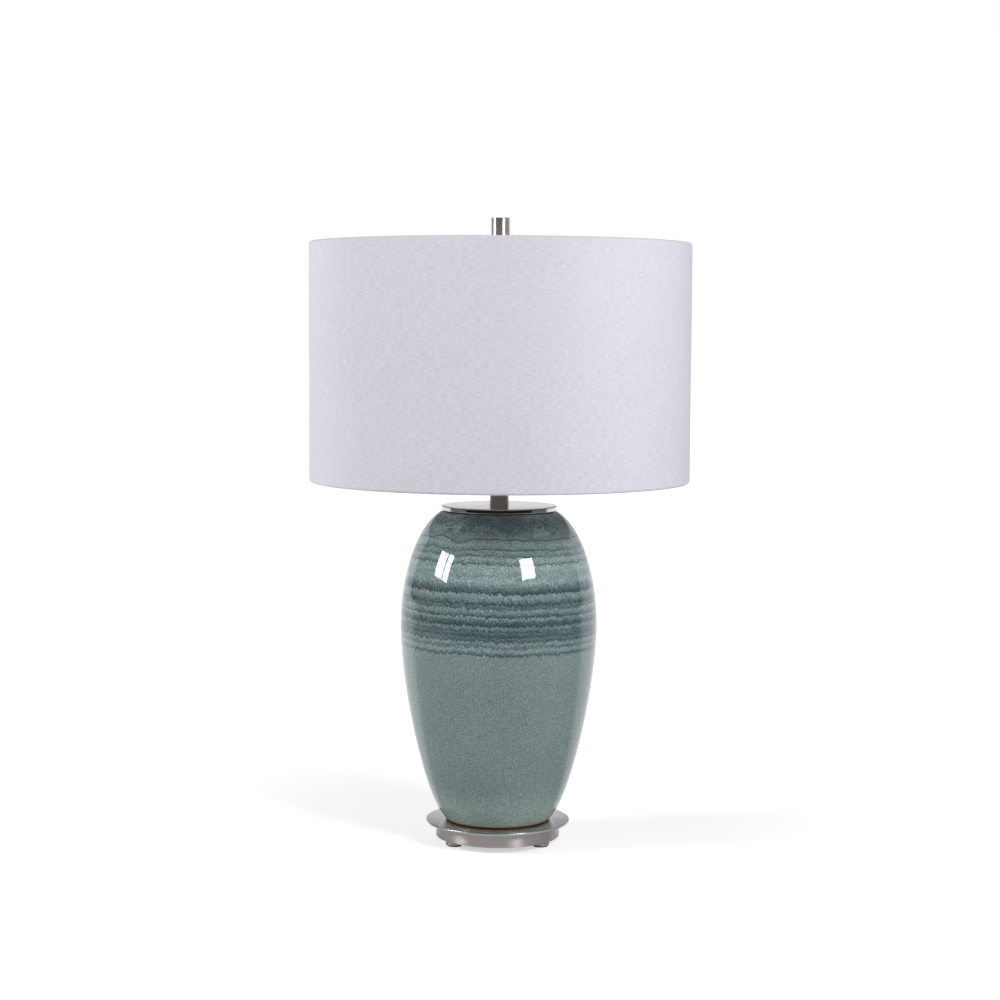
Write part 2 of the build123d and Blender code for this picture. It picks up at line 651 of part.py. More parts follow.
with BuildPart() as screw_shell:
    with BuildSketch(Plane.XZ):
        with BuildLine():
            FilletPolyline(
                (CORE_BOSS_RADIUS + LOOSE, z_core_top + half_shell_wall),
                (foot_line, z_core_top + half_shell_wall),
                (foot_line, z_shelf),
                (bore_line, z_shelf),
                (bore_line, z_core_top + SCREW_SHELL_DEPTH),
                radius=SCREW_SHELL_BEND,
            )
        trace(line_width=SCREW_SHELL_WALL)
    revolve(axis=Axis.Z)
save(screw_shell, "screw_shell")

with BuildPart() as contact:
    with BuildSketch(Plane.XZ):
        with BuildLine():
            FilletPolyline(
                (-CONTACT_LENGTH / 2, z_contact),
                (0, z_contact),
                (CONTACT_LENGTH / 2, z_contact + CONTACT_LIFT),
                radius=CONTACT_LIFT,
            )
        trace(line_width=CONTACT_THICKNESS)
    extrude(amount=CONTACT_WIDTH / 2, both=True)
save(contact, "centre_contact")

# ---------------------------------------------------------------- turn switch
stem_start = core_radius - STEM_IN_CORE
knob_start = shell_radius + KNOB_STANDOFF

with BuildPart() as stem:
    with BuildSketch(switch_plane.offset(stem_start)):
        Circle(STEM_RADIUS)
    extrude(amount=knob_start + STEM_IN_KNOB - stem_start)
save(stem, "switch_stem")

with BuildPart() as knob:
    with BuildSketch(switch_plane.offset(knob_start)):
        Circle(KNOB_RADIUS)
        with PolarLocations(KNOB_RADIUS, KNOB_FLUTES):
            Circle(KNOB_FLUTE_RADIUS, mode=Mode.SUBTRACT)
    extrude(amount=KNOB_LENGTH)
    chamfer(knob.edges().group_by(Axis.Y)[0], KNOB_EDGE)
    with BuildSketch(switch_plane.offset(knob_start)):
        Circle(STEM_RADIUS)
    extrude(amount=STEM_IN_KNOB, mode=Mode.SUBTRACT)
save(knob, "switch_knob")

# ---------------------------------------------------------------- shade
fabric_line = SHADE_RADIUS - FABRIC_THICKNESS / 2
lining_radius = SHADE_RADIUS - FABRIC_THICKNESS - SLIP
ring_circle = lining_radius - LINING_THICKNESS - SLIP - RING_WIRE_RADIUS
hem_line = ring_circle - RING_WIRE_RADIUS - LOOSE - FABRIC_THICKNESS / 2
hem_radius = (fabric_line - hem_line) / 2
hem_centre = (fabric_line + hem_line) / 2
z_hem = Z_SHADE + FABRIC_THICKNESS / 2 + hem_radius
z_hem_top = Z_SHADE_TOP - FABRIC_THICKNESS / 2 - hem_radius
z_arm = Z_HUB_TOP + ARM_WIRE_RADIUS
arm_angles = [BACK + index * 360 / ARM_COUNT for index in range(ARM_COUNT)]

with BuildPart() as fabric:
    with BuildSketch(Plane.XZ):
        with BuildLine():
            Line((hem_line, z_hem + HEM_TURN), (hem_line, z_hem))
            ThreePointArc(
                (hem_line, z_hem), (hem_centre, z_hem - hem_radius), (fabric_line, z_hem)
            )
            Line((fabric_line, z_hem), (fabric_line, z_hem_top))
            ThreePointArc(
                (fabric_line, z_hem_top),
                (hem_centre, z_hem_top + hem_radius),
                (hem_line, z_hem_top),
            )
            Line((hem_line, z_hem_top), (hem_line, z_hem_top - HEM_TURN))
        trace(line_width=FABRIC_THICKNESS)
    revolve(axis=Axis.Z)
    for arm_angle in arm_angles:
        arm_way = (cos(radians(arm_angle)), sin(radians(arm_angle)), 0)
        with BuildSketch(Plane((0, 0, z_hem_top), z_dir=arm_way).offset(hem_line - HEM_TURN)):
            Circle(ARM_WIRE_RADIUS + ARM_ROOM)
        extrude(amount=HEM_TURN + RING_WIRE_RADIUS, mode=Mode.SUBTRACT)
save(fabric, "shade_fabric")

with BuildPart() as lining:
    with BuildSketch(Plane.XY.offset(z_hem)):
        Circle(lining_radius)
        Circle(lining_radius - LINING_THICKNESS, mode=Mode.SUBTRACT)
    extrude(amount=z_hem_top - z_hem)
save(lining, "shade_lining")

for ring_name, z_ring in (("shade_ring_top", z_hem_top), ("shade_ring_bottom", z_hem)):
    with BuildPart() as ring:
        with BuildSketch(Plane.XZ):
            with Locations((ring_circle, z_ring)):
                Circle(RING_WIRE_RADIUS)
        revolve(axis=Axis.Z)
    save(ring, ring_name)

with BuildPart() as hub:
    with BuildSketch(Plane.XY.offset(Z_HUB)):
        Circle(HUB_RADIUS)
        Circle(STUD_RADIUS + SLIP, mode=Mode.SUBTRACT)
    extrude(amount=HUB_THICKNESS)
save(hub, "spider_hub")

for index, arm_angle in enumerate(arm_angles):
    arm_x = cos(radians(arm_angle))
    arm_y = sin(radians(arm_angle))
    arm_reach = ring_circle - RING_WIRE_RADIUS
    with BuildPart() as arm:
        with BuildLine():
            arm_path = FilletPolyline(
                (arm_x * HUB_BARE, arm_y * HUB_BARE, z_arm),
                (arm_x * (arm_reach - ARM_RISE), arm_y * (arm_reach - ARM_RISE), z_arm),
                (arm_x * (arm_reach - ARM_TIP), arm_y * (arm_reach - ARM_TIP), z_hem_top),
                (arm_x * ring_circle, arm_y * ring_circle, z_hem_top),
                radius=ARM_BEND,
            )
        with BuildSketch(Plane(arm_path @ 0, z_dir=arm_path % 0)):
            Circle(ARM_WIRE_RADIUS)
        sweep(path=arm_path)
        with BuildSketch(Plane.XZ):
            with Locations((ring_circle, z_hem_top)):
                Circle(RING_WIRE_RADIUS)
        revolve(axis=Axis.Z, mode=Mode.SUBTRACT)
    save(arm, f"spider_arm_{index + 1}")

# ---------------------------------------------------------------- finial
with BuildPart() as finial:
    with BuildSketch(Plane.XY.offset(Z_FINIAL)):
        Circle(FINIAL_RADIUS)
    extrude(amount=FINIAL_HEIGHT)
    fillet(finial.edges().group_by(Axis.Z)[-1], FINIAL_EDGE)
    fillet(finial.edges().group_by(Axis.Z)[0], FINIAL_EDGE)
    with BuildSketch(Plane.XY.offset(Z_FINIAL)):
        Circle(STUD_RADIUS + SLIP)
    extrude(amount=FINIAL_HOLE_DEPTH, mode=Mode.SUBTRACT)
save(finial, "finial")
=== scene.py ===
"""Looks of a ceramic table lamp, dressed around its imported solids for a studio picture.

The scene is in metres, +Z up, in the solids' own frame. Sizes held by the lamp's classes are
millimetres, as on a drawing, and repeat those of the solid that a piece stands for. Those of
the studio, of noises and of bumps are metres.
"""

import logging
import math
from collections.abc import Iterable, Sequence
from dataclasses import dataclass, field
from enum import Enum
from typing import ClassVar

import bmesh
import bpy
from mathutils import Matrix, Vector


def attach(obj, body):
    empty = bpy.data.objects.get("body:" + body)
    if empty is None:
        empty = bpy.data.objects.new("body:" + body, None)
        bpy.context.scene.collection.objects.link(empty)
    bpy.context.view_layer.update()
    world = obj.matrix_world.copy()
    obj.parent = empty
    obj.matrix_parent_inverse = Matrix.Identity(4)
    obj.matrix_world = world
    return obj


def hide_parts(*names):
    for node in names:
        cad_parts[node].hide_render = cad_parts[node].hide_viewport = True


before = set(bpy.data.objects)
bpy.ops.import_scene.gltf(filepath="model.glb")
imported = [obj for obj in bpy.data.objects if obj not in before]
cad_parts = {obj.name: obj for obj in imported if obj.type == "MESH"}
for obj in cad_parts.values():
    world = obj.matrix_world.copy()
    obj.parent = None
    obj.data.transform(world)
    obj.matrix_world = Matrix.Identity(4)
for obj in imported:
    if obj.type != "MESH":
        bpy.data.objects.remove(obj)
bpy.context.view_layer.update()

LOG = logging.getLogger("lamp")
MM = 0.001
FULL_TURN = 2 * math.pi
DEGREES = 180.0 / math.pi
ON_AXIS = 1e-6
WELD_REACH = 1e-6
CLOTH_PLACE = "cloth_place"
WHITE = (1.0, 1.0, 1.0)

Out = bpy.types.NodeSocket
Inputs = bpy.types.NodeInputs
Node = bpy.types.Node
Tree = bpy.types.NodeTree
Mesh = bpy.types.Mesh
Colour = tuple[float, float, float]
Outline = list[tuple[float, float]]
Feed = Out | float | int | Sequence[float] | None


# ---------------------------------------------------------------- node trees
class Graph:
    """Short calls that fill one node tree."""

    def __init__(self, tree: Tree) -> None:
        """Takes the tree to fill."""
        self.tree = tree

    def add(self, kind: str, **settings: object) -> Node:
        """Adds a node and sets its properties.

        Args:
            kind: the node's type name.
            settings: properties of the node, such as its operation.

        Returns:
            The new node.
        """
        node = self.tree.nodes.new(kind)
        for key, value in settings.items():
            setattr(node, key, value)
        return node

    def feed(self, socket: Out, value: Feed) -> None:
        """Links a socket to another one, or sets its own value, or leaves it."""
        if isinstance(value, Out):
            self.tree.links.new(value, socket)
        elif value is not None:
            socket.default_value = value

    def fill(self, node: Node, values: dict[str, Feed]) -> Node:
        """Feeds the named inputs of a node, apart from those without a value, and returns the node."""
        for name, value in values.items():
            if value is not None:
                self.feed(node.inputs[name], value)
        return node

    def math(self, operation: str, a: Feed, b: Feed = None, clamp: bool = False) -> Out:
        """Returns the result of one sum on two values."""
        node = self.add("ShaderNodeMath", operation=operation, use_clamp=clamp)
        self.feed(node.inputs[0], a)
        self.feed(node.inputs[1], b)
        return node.outputs[0]

    def plus(self, a: Feed, b: Feed) -> Out:
        """Returns the sum of two values."""
        return self.math("ADD", a, b)

    def minus(self, a: Feed, b: Feed) -> Out:
        """Returns the first value less the second."""
        return self.math("SUBTRACT", a, b)

    def times(self, a: Feed, b: Feed) -> Out:
        """Returns the product of two values."""
        return self.math("MULTIPLY", a, b)

    def over(self, a: Feed, b: Feed) -> Out:
        """Returns the first value divided by the second."""
        return self.math("DIVIDE", a, b)

    def vector(self, operation: str, a: Feed, b: Feed = None) -> Out:
        """Returns the vector that one operation gives."""
        node = self.add("ShaderNodeVectorMath", operation=operation)
        self.feed(node.inputs[0], a)
        self.feed(node.inputs[1], b)
        return node.outputs["Vector"]

    def length(self, a: Feed) -> Out:
        """Returns the length of a vector."""
        node = self.add("ShaderNodeVectorMath", operation="LENGTH")
        self.feed(node.inputs[0], a)
        return node.outputs["Value"]

    def parts(self, a: Feed) -> tuple[Out, ...]:
        """Returns the x, y and z of a vector."""
        node = self.add("ShaderNodeSeparateXYZ")
        self.feed(node.inputs[0], a)
        return tuple(node.outputs)

    def joined(self, x: Feed, y: Feed, z: Feed) -> Out:
        """Returns a vector of three values."""
        node = self.add("ShaderNodeCombineXYZ")
        for socket, value in zip(node.inputs, (x, y, z)):
            self.feed(socket, value)
        return node.outputs[0]

    def noise(
        self,
        place: Feed,
        scale: Feed,
        detail: float = 2.0,
        roughness: float = 0.5,
        distortion: float = 0.0,
        fourth: Feed = None,
    ) -> Out:
        """Returns a smooth noise from 0 to 1.

        Args:
            place: where it is read.
            scale: its grains per metre of place.
            detail: how many finer layers it has.
            roughness: how strong the finer layers are.
            distortion: how much it swirls.
            fourth: a fourth coordinate, where it has one.
        """
        node = self.add("ShaderNodeTexNoise", noise_dimensions="3D" if fourth is None else "4D")
        self.fill(node, {
            "Vector": place, "W": fourth, "Scale": scale, "Detail": detail, "Roughness": roughness,
            "Distortion": distortion,
        })
        return node.outputs["Fac"]

    def swing(self, place: Feed, scale: Feed, detail: float = 2.0, roughness: float = 0.5) -> Out:
        """Returns a smooth noise from -0.5 to 0.5."""
        return self.minus(self.noise(place, scale, detail, roughness), 0.5)

    def span(self, value: Feed, low: float, high: float, to_low: float = 0.0, to_high: float = 1.0) -> Out:
        """Returns a value carried from one range to another, and held at its ends."""
        node = self.add("ShaderNodeMapRange")
        for socket, fed in zip(node.inputs, (value, low, high, to_low, to_high)):
            self.feed(socket, fed)
        return node.outputs["Result"]

    def mix(self, share: Feed, a: Feed, b: Feed, blend: str = "MIX") -> Out:
        """Returns a mix of two colours, from the first at 0 to the second at 1."""
        node = self.add("ShaderNodeMix", data_type="RGBA", blend_type=blend)
        self.feed(node.inputs["Factor"], share)
        for socket, value in ((node.inputs[6], a), (node.inputs[7], b)):
            self.feed(socket, rgba(value) if isinstance(value, tuple) else value)
        return node.outputs[2]

    def ramp(self, share: Feed, stops: Sequence[tuple[float, Colour]]) -> Out:
        """Returns the colour of a ramp with the given stops, from 0 to 1."""
        node = self.add("ShaderNodeValToRGB")
        elements = node.color_ramp.elements
        while len(elements) < len(stops):
            elements.new(1.0)
        for element, (position, colour) in zip(elements, stops):
            element.position = position
            element.color = rgba(colour)
        self.feed(node.inputs[0], share)
        return node.outputs["Color"]

    def bump(self, height: Feed, depth: float, strength: float = 1.0) -> Out:
        """Returns the normal of a height from 0 to 1, that many metres deep."""
        node = self.add("ShaderNodeBump")
        self.fill(node, {"Strength": strength, "Distance": depth, "Height": height})
        return node.outputs["Normal"]

    def place(self, group: Tree, **values: Feed) -> Node:
        """Places a shared group with its own values and returns the node."""
        return self.fill(self.add("ShaderNodeGroup", node_tree=group), values)

    def grey(self, value: Feed) -> Out:
        """Returns a value as a colour of three like parts."""
        return self.joined(value, value, value)


def emptied(owner: bpy.types.Material | bpy.types.World) -> Graph:
    """Returns the graph of a material or a world, without the nodes that it came with."""
    owner.use_nodes = True
    owner.node_tree.nodes.clear()
    return Graph(owner.node_tree)


def rgba(colour: Sequence[float]) -> tuple[float, float, float, float]:
    """Returns a colour with full alpha."""
    return (colour[0], colour[1], colour[2], 1.0)


class SharedEffects:
    """Shader node groups that more than one finish places, each built once."""

    def __init__(self) -> None:
        """Builds the groups."""
        self.turned_grain = self._turned_grain()
        self.fine_speckle = self._fine_speckle()
        self.handling = self._handling()
        self.cloth_weave = self._cloth_weave()

    @staticmethod
    def _open(name: str, inputs: dict[str, float | None], outputs: Iterable[str]) -> tuple[Graph, Node, Node]:
        """Starts a group.

        Args:
            name: the group's name.
            inputs: its inputs with their first values; None makes a vector.
            outputs: the names of its values.

        Returns:
            The group's graph, its input node and its output node.
        """
        tree = bpy.data.node_groups.new(name, "ShaderNodeTree")
        for label, value in inputs.items():
            kind = "NodeSocketVector" if value is None else "NodeSocketFloat"
            socket = tree.interface.new_socket(label, in_out="INPUT", socket_type=kind)
            if value is not None:
                socket.default_value = value
        for label in outputs:
            tree.interface.new_socket(label, in_out="OUTPUT", socket_type="NodeSocketFloat")
        graph = Graph(tree)
        return graph, graph.add("NodeGroupInput"), graph.add("NodeGroupOutput")

    def _turned_grain(self) -> Tree:
        """Fine lines round the lamp's axis, or round a piece's own, as from a lathe."""
        graph, entry, leave = self._open(
            "turned_grain", {"Place": None, "Lines": 2500.0, "Broken": 1.6}, ("Tone", "Height")
        )
        x, y, z = graph.parts(entry.outputs["Place"])
        flat = graph.joined(x, y, 0.0)
        radius = graph.length(flat)
        way = graph.vector("NORMALIZE", flat)
        way_x, way_y, _ = graph.parts(way)
        broken = entry.outputs["Broken"]
        lines = graph.joined(
            graph.times(way_x, broken),
            graph.times(way_y, broken),
            graph.times(radius, entry.outputs["Lines"]),
        )
        height = graph.noise(
            lines, 1.0, 3.0, 0.65, fourth=graph.times(z, entry.outputs["Lines"])
        )
        graph.feed(leave.inputs["Tone"], graph.span(height, 0.3, 0.7))
        graph.feed(leave.inputs["Height"], height)
        return graph.tree

    def _fine_speckle(self) -> Tree:
        """Grains of about one size, soft or sharp."""
        graph, entry, leave = self._open(
            "fine_speckle", {"Place": None, "Grains": 700.0, "Sharp": 0.2}, ("Mask", "Height")
        )
        grains = graph.noise(entry.outputs["Place"], entry.outputs["Grains"], 2.0, 0.6)
        half = graph.minus(0.5, entry.outputs["Sharp"])
        lifted = graph.minus(grains, half)
        width = graph.minus(1.0, graph.times(half, 2.0))
        mask = graph.math("DIVIDE", lifted, width, clamp=True)
        graph.feed(leave.inputs["Mask"], mask)
        graph.feed(leave.inputs["Height"], grains)
        return graph.tree

    def _handling(self) -> Tree:
        """Broad faint smudges from hands and cloths, with a little dust."""
        graph, entry, leave = self._open("handling", {"Place": None, "Spread": 22.0}, ("Smudge", "Dust"))
        broad = graph.noise(entry.outputs["Place"], entry.outputs["Spread"], 3.0, 0.6, 0.8)
        fine = graph.noise(entry.outputs["Place"], 900.0, 1.0)
        graph.feed(leave.inputs["Smudge"], graph.span(broad, 0.35, 0.7))
        graph.feed(leave.inputs["Dust"], graph.times(graph.span(fine, 0.62, 0.74), broad))
        return graph.tree

    def _cloth_weave(self) -> Tree:
        """Crossed threads of uneven thickness; Place is the cloth's own flat place in metres."""
        graph, entry, leave = self._open(
            "cloth_weave", {"Place": None, "Warp": 1500.0, "Weft": 1500.0}, ("Height", "Slub", "Fleck")
        )
        along, up, _ = graph.parts(entry.outputs["Place"])
        wander = graph.noise(entry.outputs["Place"], 60.0, 2.0)
        sway = graph.times(wander, 0.004)
        warp = graph.math("SINE", graph.times(graph.plus(along, sway), entry.outputs["Warp"]))
        weft = graph.math("SINE", graph.times(graph.plus(up, sway), entry.outputs["Weft"]))
        crossing = graph.times(warp, weft)
        across_slubs = graph.noise(graph.joined(graph.times(along, 0.12), up, 0.0), 1250.0, 2.0, 0.6)
        upright_slubs = graph.noise(graph.joined(along, graph.times(up, 0.07), 7.0), 1000.0, 2.0, 0.6)
        slub = graph.plus(graph.times(across_slubs, 0.74), graph.times(upright_slubs, 0.26))
        fleck = graph.noise(entry.outputs["Place"], 620.0, 2.0, 0.7)
        height = graph.plus(graph.times(crossing, 0.10), slub)
        graph.feed(leave.inputs["Height"], height)
        graph.feed(leave.inputs["Slub"], graph.span(slub, 0.36, 0.64))
        graph.feed(leave.inputs["Fleck"], graph.span(fleck, 0.35, 0.65))
        return graph.tree


EFFECTS = SharedEffects()


# ---------------------------------------------------------------- finishes
@dataclass(frozen=True)
class Finish:
    """A surface finish, and the record's material slot that it belongs to."""

    name: str
    slot: str
    made: ClassVar[dict[str, bpy.types.Material]] = {}

    def material(self) -> bpy.types.Material:
        """Returns the finish's material, which is built at its first use."""
        if self.name not in self.made:
            material = bpy.data.materials.new(self.name)
            graph = emptied(material)
            shader = graph.add("ShaderNodeBsdfPrincipled")
            graph.feed(graph.add("ShaderNodeOutputMaterial").inputs["Surface"], shader.outputs[0])
            self.dress(graph, shader.inputs, graph.add("ShaderNodeTexCoord"))
            self.made[self.name] = material
        return self.made[self.name]

    def dress(self, graph: Graph, shader: Inputs, place: Node) -> None:
        """Feeds the shader.

        Args:
            graph: the material's graph.
            shader: the Principled shader's inputs.
            place: the Texture Coordinate node.
        """
        raise NotImplementedError


@dataclass(frozen=True)
class TurnedMetal(Finish):
    """Plated metal with fine lines round its axis, which draw each light out upright.

    Below a given height, in millimetres, it is smoother by a share, as at a rolled rim.
    """

    colour: Colour = (0.60, 0.575, 0.555)
    shade: Colour = (0.50, 0.475, 0.455)
    roughness: float = 0.32
    roughness_spread: float = 0.06
    anisotropy: float = 0.92
    lines: float = 2500.0
    depth: float = 0.00001
    smooth_below: float = 0.0
    smooth_share: float = 0.35
    ACROSS: ClassVar[float] = 0.25
    LINE_STRENGTH: ClassVar[float] = 0.6

    def dress(self, graph: Graph, shader: Inputs, place: Node) -> None:
        """Lines in colour, roughness and height, with smudges on top."""
        grain = graph.place(EFFECTS.turned_grain, Place=place.outputs["Object"], Lines=self.lines)
        hands = graph.place(EFFECTS.handling, Place=place.outputs["Object"])
        graph.feed(shader["Base Color"], graph.mix(grain.outputs["Tone"], self.shade, self.colour))
        smudged = graph.times(hands.outputs["Smudge"], self.roughness_spread)
        scored = graph.times(grain.outputs["Tone"], self.roughness_spread)
        rough = graph.plus(graph.plus(smudged, scored), self.roughness - self.roughness_spread)
        if self.smooth_below:
            height = graph.parts(place.outputs["Object"])[2]
            top = self.smooth_below * MM
            rough = graph.times(rough, graph.span(height, top - MM, top, self.smooth_share, 1.0))
        graph.feed(shader["Roughness"], rough)
        shader["Metallic"].default_value = 1.0
        shader["Anisotropic"].default_value = self.anisotropy
        shader["Anisotropic Rotation"].default_value = self.ACROSS
        if self.anisotropy:
            around = graph.add("ShaderNodeTangent", direction_type="RADIAL", axis="Z")
            graph.feed(shader["Tangent"], around.outputs[0])
        graph.feed(shader["Normal"], graph.bump(grain.outputs["Height"], self.depth, self.LINE_STRENGTH))


@dataclass(frozen=True)
class Moulded(Finish):
    """Plain material with a fine grain, such as plastic, rubber, enamel, felt or castings."""

    colour: Colour = (0.04, 0.04, 0.04)
    fleck: Colour = (0.06, 0.06, 0.06)
    roughness: float = 0.4
    grains: float = 900.0
    depth: float = 0.00005
    coat: float = 0.0
    sheen: float = 0.0
    DUST: ClassVar[Colour] = (0.5, 0.48, 0.45)
    DUST_SHARE: ClassVar[float] = 0.15
    SMUDGE: ClassVar[float] = 0.1

    def dress(self, graph: Graph, shader: Inputs, place: Node) -> None:
        """Grains in colour and height, with smudges in the roughness."""
        grain = graph.place(EFFECTS.fine_speckle, Place=place.outputs["Object"], Grains=self.grains)
        hands = graph.place(EFFECTS.handling, Place=place.outputs["Object"])
        flecked = graph.mix(grain.outputs["Mask"], self.colour, self.fleck)
        dust = graph.times(hands.outputs["Dust"], self.DUST_SHARE)
        graph.feed(shader["Base Color"], graph.mix(dust, flecked, self.DUST))
        rough = graph.plus(graph.times(hands.outputs["Smudge"], self.SMUDGE), self.roughness)
        graph.feed(shader["Roughness"], rough)
        graph.feed(shader["Normal"], graph.bump(grain.outputs["Height"], self.depth))
        shader["Coat Weight"].default_value = self.coat
        shader["Sheen Weight"].default_value = self.sheen


@dataclass(frozen=True)
class FibreBoard(Finish):
    """Rolled fibre paper with long fibres."""

    colour: Colour = (0.42, 0.32, 0.20)
    fibre: Colour = (0.55, 0.44, 0.30)

    def dress(self, graph: Graph, shader: Inputs, place: Node) -> None:
        """Upright fibres in colour and height."""
        drawn = graph.vector("MULTIPLY", place.outputs["Object"], (1.0, 1.0, 0.08))
        fibres = graph.noise(drawn, 1400.0, 3.0, 0.7)
        graph.feed(shader["Base Color"], graph.mix(graph.span(fibres, 0.35, 0.7), self.colour, self.fibre))
        graph.feed(shader["Normal"], graph.bump(fibres, 0.0001))
        shader["Roughness"].default_value = 0.85


@dataclass(frozen=True)
class Linen(Finish):
    """White linen with uneven threads, with painted light on its slubs and painted shade between its threads;
    the cloth's own flat place is its UV map.
    """

    thread: Colour = (0.815, 0.802, 0.880)
    # The thread colour is the cloth lit; the hollow colour is painted shade between the threads.
    hollow: Colour = (0.625, 0.613, 0.682)
    warp: float = 7000.0
    weft: float = 7000.0
    fleck_share: float = 0.35
    broad_share: float = 0.25
    depth: float = 0.0004

    def dress(self, graph: Graph, shader: Inputs, place: Node) -> None:
        """Threads in colour and height, with painted light and shade in the weave, over the broad unevenness
        of a hand-laid cloth.
        """
        weave = graph.place(EFFECTS.cloth_weave, Place=place.outputs["UV"], Warp=self.warp, Weft=self.weft)
        # Painted light on the raised slubs and painted shade in the hollows: the slub noise mixes the lit
        # thread colour with the darker hollow colour.
        lit = graph.mix(weave.outputs["Slub"], self.hollow, self.thread)
        mottled = graph.mix(graph.times(weave.outputs["Fleck"], self.fleck_share), lit, self.thread)
        broad = graph.span(graph.noise(place.outputs["Object"], 9.0, 2.0), 0.3, 0.7, 0.0, self.broad_share)
        graph.feed(shader["Base Color"], graph.mix(broad, mottled, self.thread))
        shader["Roughness"].default_value = 0.92
        shader["Specular IOR Level"].default_value = 0.25
        shader["Sheen Weight"].default_value = 0.08
        graph.feed(shader["Normal"], graph.bump(weave.outputs["Height"], self.depth))


class Tone(Enum):
    """The fired colours of the vase, as the glaze lies thicker or thinner, and a pale tone that paints the
    base plate's reflection near the foot.
    """

    CELADON = (0.231, 0.316, 0.311)
    PALE = (0.245, 0.338, 0.328)
    LIGHT = (0.205, 0.284, 0.284)
    MIST = (0.170, 0.240, 0.244)
    MID = (0.118, 0.174, 0.180)
    DARK = (0.076, 0.120, 0.128)
    INK = (0.042, 0.072, 0.080)
    SLATE = (0.195, 0.258, 0.280)
    SMOKE = (0.255, 0.328, 0.352)
    RUST = (0.320, 0.160, 0.070)
    # Not a fired colour: a painted pale reflection of the base plate, mixed in near the foot.
    PAINTED_FOOT_SHEEN = (0.420, 0.515, 0.470)


@dataclass(frozen=True)
class RunLayer:
    """One of the noises that move the bands, each by up to half its depth in metres.

    Its fade is two heights in metres and its strength at each, where it has one.
    """

    depth: float
    squash: float
    scale: float
    detail: float
    roughness: float = 0.5
    fade: tuple[float, float, float, float] | None = None


